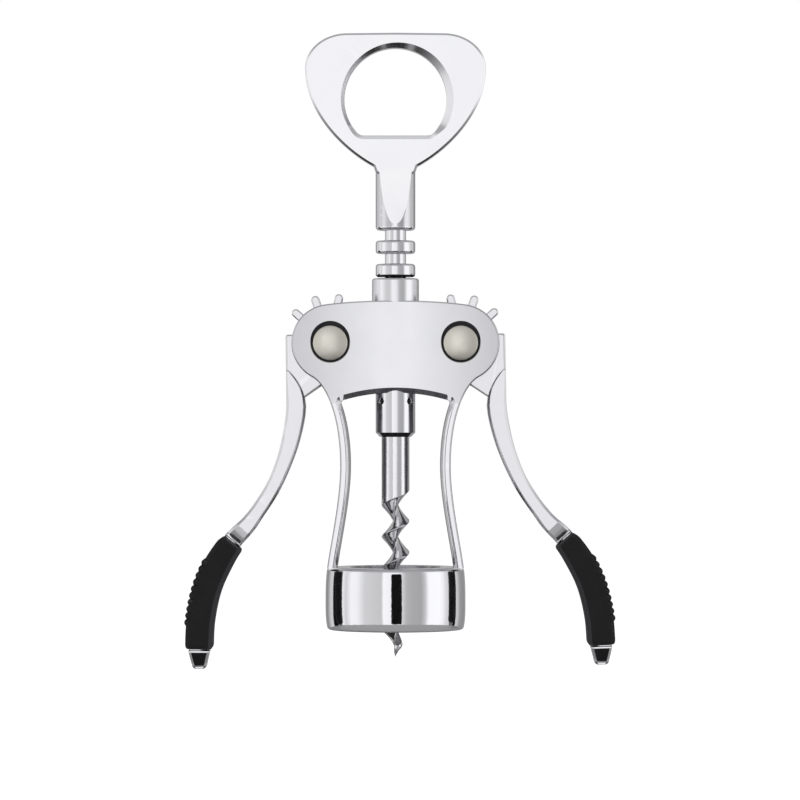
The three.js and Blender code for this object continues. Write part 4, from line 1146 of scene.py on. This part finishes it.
# %% [markdown]
# ## The levers
#
# A lever has three parts in one casting: the gear between the plates, a thick arm that swings
# outside them, and a tongue that the grip is pushed on, with a bright tip below. Gear and arm
# are slabs. The gear's rim is worked out as the distance from the pivot along each ray, because
# a hub, its fingers and the web all show their whole edge to the pivot.

# %% Gear rim
HUB_RADIUS, HALF_TOOTH, ROOT_FILLET = 10.2, 1.15, 0.5
TEETH_ABOVE, TEETH_BELOW = 4, 2
WEB_TOP = 2.5
# The web's corners about the pivot, and how much more each side gives way than the hub's rim.
WEB = np.array([
    (0, WEB_TOP), (0, -HUB_RADIUS), (ARM_INNER, -SHOULDER_FOOT), (ARM_INNER + 0.8, -SHOULDER_FOOT),
    (ARM_EDGE, -SHOULDER_TOP - ARM_TOP_WIDTH), (ARM_EDGE, 1.9), (ARM_EDGE - 0.2, 2.3),
    (ARM_EDGE - 0.6, WEB_TOP)])
WEB_SOFTNESS = np.array([1.35, 2.1, 2.1, 1.35, 1.35, 1.35, 1.35, 1.35])


def soft_max(a, b, size):
    """The larger of both, plus (size - |a - b|)^2 / 4 size where they are close: a fillet."""
    return np.maximum(a, b) + np.maximum(size - np.abs(a - b), 0) ** 2 / (4 * size)


def gear_rim(shrink, samples=1440):
    """Distance to the rim along each ray: hub, fingers with half-round tips, and the web. Each
    of them is smaller by the shrink all round, and the web, with its softer edge, by more."""
    a = np.linspace(0, TURN, samples, endpoint=False)
    rim = np.full(samples, HUB_RADIUS - shrink)
    gap = (MESHED_DISC_RISE + RACK_PITCH / 2) / (TOOTH_TIP - ADDENDUM)
    centre, half = TOOTH_TIP - HALF_TOOTH, HALF_TOOTH - shrink
    for step in range(-TEETH_ABOVE, TEETH_BELOW + 1):
        off = a - (np.pi - gap + step * TURN / TEETH_PER_TURN)
        along, across = np.cos(off), np.abs(np.sin(off))
        tip = centre * along + np.sqrt(np.maximum(half ** 2 - (centre * across) ** 2, 0))
        flank = half / np.maximum(across, TINY)
        reach = np.where(centre * across <= half, tip, flank)
        rim = soft_max(rim, np.where(along > 0, reach, 0), ROOT_FILLET)
    side = np.roll(WEB, -1, axis=0) - WEB
    normal = np.stack([side[:, 1], -side[:, 0]], -1)
    facing = normal @ np.stack([np.cos(a), np.sin(a)])
    distance = (normal * WEB).sum(1) - WEB_SOFTNESS * shrink * np.linalg.norm(normal, axis=1)
    reach = np.where(facing > TINY, distance[:, None] / np.where(facing > TINY, facing, 1), 1e9)
    rim = np.maximum(rim, np.maximum(reach.min(0), 0))
    return np.stack([rim * np.cos(a), rim * np.sin(a)], -1)


# %% [markdown]
# The arm follows one curved line. Its outline is that line moved out and in by half the arm's
# width, and the arm's thickness shrinks a little towards the grip.


# %% Lever line
PATH_SHARES = np.array([
    [0.258, 0.19], [0.268, 0.23], [0.326, 0.331], [0.437, 0.4415], [0.608, 0.547],
    [0.789, 0.636], [0.918, 0.735], [0.984, 0.844], [1, 0.938], [1, 1]])
LEVER_REACH, LEVER_DROP = 38, 90.6
SLIM, WIDENING, GRIP_FROM, GRIP_TO = 0.29, 0.38, 0.53, 0.93


def spline(knots, steps=60):
    """Curve through the knots. Each stretch is a cubic whose end slopes come from the
    neighbouring knots, with parameter steps as the square root of the knots' distances."""
    ends = np.concatenate([2 * knots[:1] - knots[1:2], knots, 2 * knots[-1:] - knots[-2:-1]])
    gap = np.sqrt(np.linalg.norm(np.diff(ends, axis=0), axis=1))[:, None]
    p0, p1, p2, p3 = ends[:-3], ends[1:-2], ends[2:-1], ends[3:]
    g0, g1, g2 = gap[:-2], gap[1:-1], gap[2:]
    m1 = ((p1 - p0) / g0 - (p2 - p0) / (g0 + g1) + (p2 - p1) / g1) * g1
    m2 = ((p2 - p1) / g1 - (p3 - p1) / (g1 + g2) + (p3 - p2) / g2) * g1
    t = np.linspace(0, 1, steps, endpoint=False)[None, :, None]
    p1, p2, m1, m2 = (v[:, None] for v in (p1, p2, m1, m2))
    bent = (2 * t ** 3 - 3 * t ** 2 + 1) * p1 + (t ** 3 - 2 * t ** 2 + t) * m1 \
        + (3 * t ** 2 - 2 * t ** 3) * p2 + (t ** 3 - t ** 2) * m2
    return np.concatenate([bent.reshape(-1, 2), knots[-1:]])


lever_line = spline(PATH_SHARES * [LEVER_REACH, -LEVER_DROP])
lever_run = np.concatenate([[0], np.cumsum(np.linalg.norm(np.diff(lever_line, axis=0), axis=1))])
LEVER_LENGTH = lever_run[-1]
print("lever line:", round(LEVER_LENGTH, 2), "mm")


def on_line(share):
    """The point at that share of the line's length, and the direction square to the line."""
    def at(s):
        return np.stack([np.interp(s * LEVER_LENGTH, lever_run, axis) for axis in lever_line.T], -1)

    share = np.asarray(share, float)
    along = at(np.minimum(share + 0.004, 1)) - at(np.maximum(share - 0.004, 0))
    along /= np.linalg.norm(along, axis=-1, keepdims=True)
    return at(share), np.stack([-along[..., 1], along[..., 0]], -1)


# %% Arm outline
ARM_MID_WIDTH, ARM_END_WIDTH, ARM_ASIDE = 4.1, 5.3, 0.35
ARM_HALF_DEPTH, ARM_THINNING = 5, 0.5


def arm_widths(share):
    """Half widths outside and inside the line: slim in the middle, wider towards the grip,
    where the arm also stands a little outside the line."""
    slim = ARM_TOP_WIDTH + (ARM_MID_WIDTH - ARM_TOP_WIDTH) * smoothstep(share, 0, SLIM)
    half = (slim + (ARM_END_WIDTH - slim) * smoothstep(share, WIDENING, GRIP_FROM)) / 2
    aside = ARM_ASIDE * smoothstep(share, GRIP_FROM - 0.1, GRIP_FROM)
    return half + aside, half - aside


# Way before the grip in mm, and how far the face has dropped there: two facets and a flange.
ARM_ROLL = np.array([(0, 1.12), (0.5, 1.12), (0.55, 1.11), (2.45, 0.47), (2.55, 0.44), (4.4, 0),
                     (4.5, 0)])


def before_grip(x, z):
    """Distance from the arm's end, measured along the line there."""
    end, across = on_line(GRIP_FROM)
    return (end[0] - x) * across[1] - (end[1] - z) * across[0]


def arm_depth(x, z):
    """Half thickness: 5 at the shoulder, 4.5 near the grip, less the drop at the end."""
    share = np.interp(-z, -lever_line[:, 1], lever_run / LEVER_LENGTH)
    thinner = ARM_THINNING * np.clip(share / GRIP_FROM, 0, 1)
    return ARM_HALF_DEPTH - thinner - np.interp(before_grip(x, z), *ARM_ROLL.T)


def arm_outline():
    """Down the shoulder's curve and the inner edge, across the end, and up the outer edge."""
    shares = np.linspace(0, GRIP_FROM, 240)
    centre, outward = on_line(shares)
    outside, inside = arm_widths(shares)
    outer, inner = centre + outward * outside[:, None], centre - outward * inside[:, None]
    top, foot = np.array([ARM_EDGE, -SHOULDER_TOP]), np.array([ARM_INNER, -SHOULDER_FOOT])
    curve = short_bezier(top, foot + (top - foot) * [0.15, 0.5], foot, 16)
    tip = rounded([curve[2], top, outer[0]], 0.5, 5)[1:-1]
    return np.concatenate([tip[::-1], curve[3:], inner[1:], outer[::-1]])


def arm_edges(loop):
    """A chamfer that starts small at the shoulder's tip, reaches its full size below it, and is
    small again along the end."""
    grown = 0.45 + 0.55 * smoothstep(-loop[:, 1], SHOULDER_TOP, SHOULDER_FOOT + 4)
    grown *= 0.3 + 0.7 * smoothstep(before_grip(*loop.T), 0.1, 1)
    return chamfer_edge(0.7, 0.14)[:, None] * grown[None, :, None]


# %% [markdown]
# Tongue, tip and grip are sections carried along the same line. A section is a rectangle with
# chamfered corners, and each of its four corners is the same small curve, so a whole piece is
# one array: rings along the line, corner points round each ring.


# %% Sections along the line
GRIP_HALF_DEPTH, GRIP_CHAMFER = 6.5, 1.1
GRIP_OUTER, GRIP_OUTER_SWELL, GRIP_INNER, GRIP_INNER_SWELL = 3.6, 0.25, 3.5, 0.35
RIB_COUNT, RIB_HEIGHT, RIBS_FROM, RIBS_TO = 10, 0.55, 0.242, 0.803
TIP_HALF_WIDTH, TIP_END_HALF_WIDTH, TIP_HALF_DEPTH, TIP_END_HALF_DEPTH = 3.05, 2.1, 4.7, 3.4
FLANGE_SHARE, TIP_ROUND = 0.145, 1.3


def sections(share, outside, inside, half_depth, corner):
    """For each ring, corners at (outside or -inside) - u across and (half depth) - v deep, with
    (u, v) along the corner's curve, set on the line and square to it."""
    centre, outward = on_line(share)
    u, v = corner[:, 0], corner[:, 1]
    outside, inside, half_depth = (
        np.broadcast_to(size, len(share))[:, None] for size in (outside, inside, half_depth))
    right, left, deep = outside - u, -(inside - u), half_depth - v
    across = np.concatenate([right, left[:, ::-1], left, right[:, ::-1]], 1)
    depth = np.concatenate([deep, deep[:, ::-1], -deep, -deep[:, ::-1]], 1)
    x = centre[:, :1] + outward[:, :1] * across
    z = centre[:, 1:] + outward[:, 1:] * across
    return np.stack([x, -depth, z], -1)


def tongue_rings(share, room, steps):
    """The tongue's section, or with room round it the hollow that it fills."""
    return sections(share, 2.6 + room, 1.0 + room, 3.2 + room, chamfer_edge(0.6, 0.1, steps))


def tip_rings():
    """From the grip's end the tip tapers, then rounds off: its last rows shrink as a quarter
    circle does. A ring of no size closes each end."""
    start = GRIP_TO + RUN_GAP / LEVER_LENGTH
    last = 1 - TIP_ROUND / LEVER_LENGTH
    t = np.array([0, 0.02, 0.05, 0.13, 0.16, 0.3, 0.5, 0.7, 0.85, 1.0])
    edge = np.array([0.3, 0.1, 0, 0, 0, 0, 0, 0, 0, 0])
    wide = TIP_HALF_WIDTH + (TIP_END_HALF_WIDTH - TIP_HALF_WIDTH) * t - edge
    body = np.clip((t - FLANGE_SHARE) / (1 - FLANGE_SHARE), 0, 1)
    deep = TIP_HALF_DEPTH + (TIP_END_HALF_DEPTH - TIP_HALF_DEPTH) * body - edge
    a = np.linspace(0, np.pi / 2, 7)[1:]
    round_off = TIP_ROUND * (1 - np.cos(a))
    share = np.concatenate([start + (last - start) * t, last + (1 - last) * np.sin(a)])
    wide = np.concatenate([wide, TIP_END_HALF_WIDTH - round_off])
    deep = np.concatenate([deep, TIP_END_HALF_DEPTH - round_off])
    return sections(share, wide, wide, deep, chamfer_edge(0.7, 0.12, 2))


def closed_ends(rings):
    """Rings with a point in the middle of the first and the last one, so both ends close."""
    first = np.broadcast_to(rings[0].mean(0), rings[:1].shape)
    last = np.broadcast_to(rings[-1].mean(0), rings[:1].shape)
    return grid_patch(np.concatenate([first, rings, last]), wrap_columns=True)


def grip_rings():
    """Rounded shoulders at both ends, ribs |sin|^0.8 high on the outer side. A shoulder of a
    length and a size falls by size (1 - sqrt(1 - s^2)), with s growing to 1 at the end."""
    start, stop = GRIP_FROM + RUN_GAP / LEVER_LENGTH, GRIP_TO
    span = (stop - start) * LEVER_LENGTH
    shoulder = 2.6 / span
    ends = np.linspace(0, shoulder, 14)
    t = np.unique(np.concatenate([ends, np.linspace(shoulder, 1 - shoulder, 230), 1 - ends]))

    def fall(length, size):
        """How far a shoulder of that length and size has fallen, ring by ring."""
        s = np.clip(1 - np.minimum(t, 1 - t) * span / length, 0, 1)
        return size * (1 - np.sqrt(1 - s ** 2))

    draw = fall(1.5, 0.75)
    outer_draw = np.where(t < 0.5, fall(2.6, 1.5), draw)
    along_ribs = np.clip((t - RIBS_FROM) / (RIBS_TO - RIBS_FROM), 0, 1)
    rib = np.abs(np.sin(along_ribs * RIB_COUNT * np.pi)) ** 0.8
    outer = GRIP_OUTER + GRIP_OUTER_SWELL * smoothstep(t, 0.02, 0.24)
    inner = GRIP_INNER + GRIP_INNER_SWELL * smoothstep(t, 0, 0.3)
    share = start + (stop - start) * t
    return share, sections(share, outer - outer_draw + RIB_HEIGHT * rib, inner - draw,
                           GRIP_HALF_DEPTH - draw, chamfer_edge(GRIP_CHAMFER, 0.3, 3))


# %% Build the levers and grips
LEVER_PLAY = math.radians(0.9)
PIN_HOLE_RADIUS = RIVET_TUBE_RADIUS + SEAT_GAP
pin_hole = arc((0, 0), PIN_HOLE_RADIUS, TURN, 0, 64)[:-1]


def at_pivot(patches, turn, half_turn):
    """Patches drawn about the pivot, at the right or the left one."""
    return moved(patches, turn, (PIVOT_X, 0, PIVOT_HEIGHT), half_turn)


def lever_piece(name, turn, half_turn):
    """Gear, arm, tongue and tip drawn about the pivot, moved to it, and joined."""
    gear = slab(gear_rim, [pin_hole], HALF_GEAR, round_edge(0.45, 5), [round_edge(0.3, 3)])
    outline = arm_outline()
    arm = slab(outline, [], arm_depth, arm_edges(outline))
    tongue_end = GRIP_TO + RUN_GAP / LEVER_LENGTH + 0.01
    tongue = tongue_rings(np.linspace(GRIP_FROM - 0.05, tongue_end, 40), 0, 2)
    parts = [gear, arm, [closed_ends(tongue)], [closed_ends(tip_rings())]]
    body, *more = (at_pivot(patches, turn, half_turn) for patches in parts)
    return add(piece_from(name, body), *more)


def grip_piece(name, turn, half_turn):
    """A closed tube: the outer skin and, one ring at a time, the hollow for the tongue."""
    share, outer = grip_rings()
    hollow = tongue_rings(share, RUN_GAP, 3)
    skin = grid_patch(np.concatenate([outer, hollow[::-1]]), wrap_rows=True, wrap_columns=True)
    return piece_from(name, at_pivot([skin], turn, half_turn))


for side, turn, half_turn in (("right", -LEVER_PLAY, False), ("left", LEVER_PLAY, True)):
    lever = smooth(lever_piece(f"{side}_lever_fine", turn, half_turn))
    settle(lever, LEVER_CHROME, f"{side}_lever")
    zone(lever, lambda x, y, z, *_: z < -1, BELL_CHROME)
    grip = smooth(grip_piece(f"{side}_grip_fine", turn, half_turn), math.radians(40))
    settle(grip, GRIP_RUBBER, f"{side}_grip")
    # The inner bevel of each grip gets a lighter rubber as painted sheen.
    inwards = 1 if half_turn else -1
    zone(grip, lambda x, y, z, nx, ny, nz: (np.abs(ny) > 0.5) & (inwards * nx > 0.3), PAINTED_SHEEN_RUBBER)

# %% [markdown]
# ## The pivot rivets
#
# Each pivot is a rivet in two halves: a tube from the back and a solid shank from the front.
# Their domed heads sit in counterbores, with a thin dark gap all round.


# %% Rivets
RIVET_RADIUS, RIVET_RIM, RIVET_DOME, RIVET_SHANK_RADIUS = 4.9, 0.7, 0.9, 1.6


def rivet_profile(is_front):
    """The head's rim and dome R (1 - (r / R)^2), on a shank or on a tube."""
    under = HALF_HOUSING - COUNTERBORE_DEPTH + SEAT_GAP
    rim = under + RIVET_RIM
    r = np.linspace(1, 0, 24)[1:] * RIVET_RADIUS
    top = np.stack([r, rim + RIVET_DOME * (1 - (r / RIVET_RADIUS) ** 2)], -1)
    corners = [(RIVET_SHANK_RADIUS, under), (RIVET_RADIUS, under), (RIVET_RADIUS, rim), top[1]]
    edge = rounded(corners, [0, 0.15, 0.35, 0], 6)[1:]
    if is_front:
        inner = [(0, -under), (RIVET_SHANK_RADIUS, -under), (RIVET_SHANK_RADIUS, under)]
    else:
        hollow, low, high = RIVET_SHANK_RADIUS + SEAT_GAP, SEAT_GAP - under, under + SEAT_GAP
        inner = [(0, high), (hollow, high), (hollow, low), (RIVET_TUBE_RADIUS, low),
                 (RIVET_TUBE_RADIUS, under)]
    return np.concatenate([np.array(inner, float), edge, top[2:]])


for side, x in (("right", PIVOT_X), ("left", -PIVOT_X)):
    for is_front, cad_name in ((True, "pivot_pin"), (False, "pin_sleeve")):
        profile = rivet_profile(is_front) * [1, -1 if is_front else 1]
        skin = turned_across(profile, RIVET_STEPS, x, PIVOT_HEIGHT)
        rivet = smooth(piece_from(f"{side}_{cad_name}_fine", [skin]))
        settle(rivet, RIVET_NICKEL, f"{side}_{cad_name}")

# %% [markdown]
# ## Studio
#
# Polished metal shows its surroundings and little else. The object stands in a light tent of
# white and grey walls, between a pale ceiling and a darker floor tone. The world shader holds
# the tent as a function of direction, and the camera itself sees plain white.

# %% Tent
# Angle round the tent from the camera, in degrees to the right, and the brightness there.
TENT_BANDS = [
    (-180, 0.42), (-150, 0.27), (-134, 0.66), (-124, 0.66), (-104, 0.80), (-97, 0.92),
    (-90, 0.70), (-78, 1.02), (-66, 0.98), (-52, 0.70), (-37, 0.66), (-23, 0.62), (-20, 1.06),
    (-9, 1.0), (2, 0.98), (9, 0.86), (14, 0.62), (18, 0.50), (27, 0.45), (43, 0.42), (50, 0.60),
    (57, 1.08), (78, 1.10), (86, 0.98), (92, 0.78), (103, 0.64), (122, 0.66), (134, 0.34),
    (150, 0.28), (180, 0.42)]

# Brightness below, from straight down (0) to the horizon (1), and overhead.
GROUND_TONES = [(0.0, 0.015), (0.2, 0.03), (0.36, 0.16), (0.55, 0.36), (0.75, 0.46), (1.0, 0.55)]
ROOF_TONE = (0.40, 0.40, 0.41)

# Height of the direction, from -1 to 1, between which the walls fade to the roof and the ground.
ROOF_FADE, GROUND_FADE = (0.35, 0.7), (-0.28, -0.46)


def tone_ramp(tree, place, stops, blueness):
    """Grey tones at places from 0 to 1, with blue lifted by a factor. A new ramp has two stops,
    which become the first and the last one."""
    ramp = node(tree, "ShaderNodeValToRGB", [("Fac", place)])
    made = ramp.color_ramp.elements
    for k, (spot, level) in enumerate([stops[0], stops[-1], *stops[1:-1]]):
        stop = made[k] if k < 2 else made.new(spot)
        stop.position = spot
        stop.color = (level, level, level * blueness, 1)
    return ramp.outputs["Color"]


def white_to_camera(tree, shader, plain):
    """One shader for the camera's own rays, and another for everything else."""
    path = node(tree, "ShaderNodeLightPath")
    return node(tree, "ShaderNodeMixShader", [(0, path.outputs["Is Camera Ray"]), (1, shader),
                                              (2, plain)]).outputs[0]


def tent_world():
    """Angle = atan2(x, -y) of the direction looked in, as a place on a colour ramp. Above and
    below, the walls give way to a ceiling and a floor tone."""
    world = bpy.data.worlds.new("light_tent")
    world.use_nodes = True
    bpy.context.scene.world = world
    tree = world.node_tree
    tree.nodes.clear()
    place = node(tree, "ShaderNodeTexCoord").outputs["Generated"]
    x, y, z = node(tree, "ShaderNodeSeparateXYZ", [("Vector", place)]).outputs
    angle = maths(tree, "ARCTAN2", x, maths(tree, "MULTIPLY", y, -1.0))
    share = maths(tree, "MULTIPLY_ADD", angle, 1 / TURN, 0.5)
    walls = tone_ramp(tree, share, [((a + 180) / 360, level) for a, level in TENT_BANDS], 1.01)
    ground = tone_ramp(tree, share_between(tree, z, -1.0, 0.0), GROUND_TONES, 1.02)
    upper = share_between(tree, z, *ROOF_FADE, interpolation_type="SMOOTHSTEP")
    lower = share_between(tree, z, *GROUND_FADE, interpolation_type="SMOOTHSTEP")
    tones = mixed(tree, lower, mixed(tree, upper, walls, ROOF_TONE), ground)
    tent = node(tree, "ShaderNodeBackground", [("Color", tones), ("Strength", 1.0)])
    plain = node(tree, "ShaderNodeBackground", [("Color", (1, 1, 1, 1)), ("Strength", 1.0)])
    seen = white_to_camera(tree, tent.outputs[0], plain.outputs[0])
    node(tree, "ShaderNodeOutputWorld", [("Surface", seen)])


tent_world()

# %% [markdown]
# ## Floor and lamp
#
# The floor is a large pale sheet below the lowest point that the worm reaches. It takes the
# object's soft shadow, and to the camera it is as white as the backdrop where no shadow falls.
# One wide lamp above gives that shadow. Cards of matt paper round the object are seen in the
# metal only: black ones draw the upright bars on the bell, the sleeve and the shank and the
# dark tips of the levers, grey and white ones lie level beside the bell, and a grey dish below
# lights the bell's lower rim.

# %% Floor and lamp
FLOOR_HEIGHT, FLOOR_HALF = -56, 4000
FLOOR_GLOW = 0.63


def floor_sheet():
    """A flat grid of 8 m by 8 m, with a glow that only the camera sees."""
    x, y = np.meshgrid(*[np.linspace(-FLOOR_HALF, FLOOR_HALF, 9)] * 2)
    floor = piece_from("floor", [grid_patch(np.stack([x, y, np.full_like(x, FLOOR_HEIGHT)], -1))])
    material, tree, shader = new_material("pale_floor", Base_Color=(0.82, 0.82, 0.82, 1),
                                          Roughness=0.9, Specular_IOR_Level=0.0)
    nothing = node(tree, "ShaderNodeEmission", [("Color", (0, 0, 0, 1)), ("Strength", 0.0)])
    glow = node(tree, "ShaderNodeEmission", [("Color", (1, 1, 1, 1)), ("Strength", FLOOR_GLOW)])
    seen = white_to_camera(tree, nothing.outputs[0], glow.outputs[0])
    both = node(tree, "ShaderNodeAddShader", [(0, shader.outputs[0]), (1, seen)])
    tree.links.new(both.outputs[0], tree.nodes["Material Output"].inputs["Surface"])
    floor.data.materials.append(material)
    floor.visible_glossy = False


def soft_lamp(name, place, size, power, target=(0, 0, 60)):
    """A round area lamp that faces a target and that neither the camera nor the metal sees."""
    data = bpy.data.lights.new(name, "AREA")
    data.shape, data.size, data.energy = "DISK", size * MM, power
    lamp = bpy.data.objects.new(name, data)
    lamp.location = [v * MM for v in place]
    toward = Vector(target) - Vector(place)
    lamp.rotation_euler = toward.to_track_quat("-Z", "Y").to_euler()
    lamp.visible_camera = lamp.visible_glossy = False
    bpy.context.scene.collection.objects.link(lamp)


def card(name, patch, shade):
    """A sheet of matt paper that only reflections show."""
    sheet = piece_from(name, [patch])
    paper, *_ = new_material(name, Base_Color=(shade, shade, shade, 1), Roughness=1.0,
                             Specular_IOR_Level=0.0)
    sheet.data.materials.append(paper)
    sheet.visible_camera = sheet.visible_diffuse = sheet.visible_shadow = False


def upright_card(start, end, low, high, distance):
    """Part of a drum round the object, between two angles from the camera and two heights."""
    a, z = np.meshgrid(np.radians(np.linspace(start, end, 9)), [low, high])
    return grid_patch(np.stack([distance * np.sin(a), -distance * np.cos(a), z], -1))


def flat_card(left, right, near, far, z):
    """A level rectangle."""
    x, y = np.meshgrid([left, right], [near, far])
    return grid_patch(np.stack([x, y, np.full_like(x, z)], -1).astype(float))


def front_card(left, right, low, high, corner, distance):
    """An upright rectangle with rounded corners, in front of the object."""
    loop = rounded([(left, low), (right, low), (right, high), (left, high)], corner, 6, closed=True)
    return fill_patch([loop], lambda x, z: distance + 0 * x, -1)


# %% Cards
BLACK_PAPER, GREY_PAPER, WHITE_PAPER = 0.012, 0.36, 0.85

# Name, first and last angle from the camera in degrees, lowest and highest point, distance.
FLAGS = [("left_flag", -123, -104, -110, 75, 400), ("right_flag", 105, 116.5, -110, 75, 400),
         ("upper_left_flag", -137, -104, 34, 75, 100), ("upper_right_flag", 99, 127, 34, 75, 100)]

# Name, nearest and farthest point along Y, and paper, of the level cards beside the bell.
LEVEL_CARDS = [("floor_flag", -33, -62, BLACK_PAPER), ("floor_fill", -62, -160, GREY_PAPER),
               ("floor_sheet", 40, -33, WHITE_PAPER)]
LEVEL_CARD_HEIGHT, LEVEL_CARD_INNER, LEVEL_CARD_OUTER = -50, 46, 72

# Left, right, lowest and highest point, corner and distance of the card before the object, and
# radius and height of the dish's two rims.
FRONT_FLAG = (-8.5, 13, -15, 27.7, 2.4, 80)
DISH = [(13.5, -12), (44, -5)]

floor_sheet()
card("front_flag", front_card(*FRONT_FLAG), BLACK_PAPER)
for name, *place in FLAGS:
    card(name, upright_card(*place), BLACK_PAPER)
for side in (-1, 1):
    left, right = sorted((LEVEL_CARD_INNER * side, LEVEL_CARD_OUTER * side))
    for name, near, far, paper in LEVEL_CARDS:
        card(f"{name}_{left}", flat_card(left, right, near, far, LEVEL_CARD_HEIGHT), paper)
card("bounce_dish", turned(DISH, 64), GREY_PAPER)
soft_lamp("overhead", (150, -200, 900), 700, 6.0)

# %% [markdown]
# ## Finish
#
# The plain view transform shows colours as they are written.

# %% Finish
bpy.context.scene.view_settings.view_transform = "Standard"
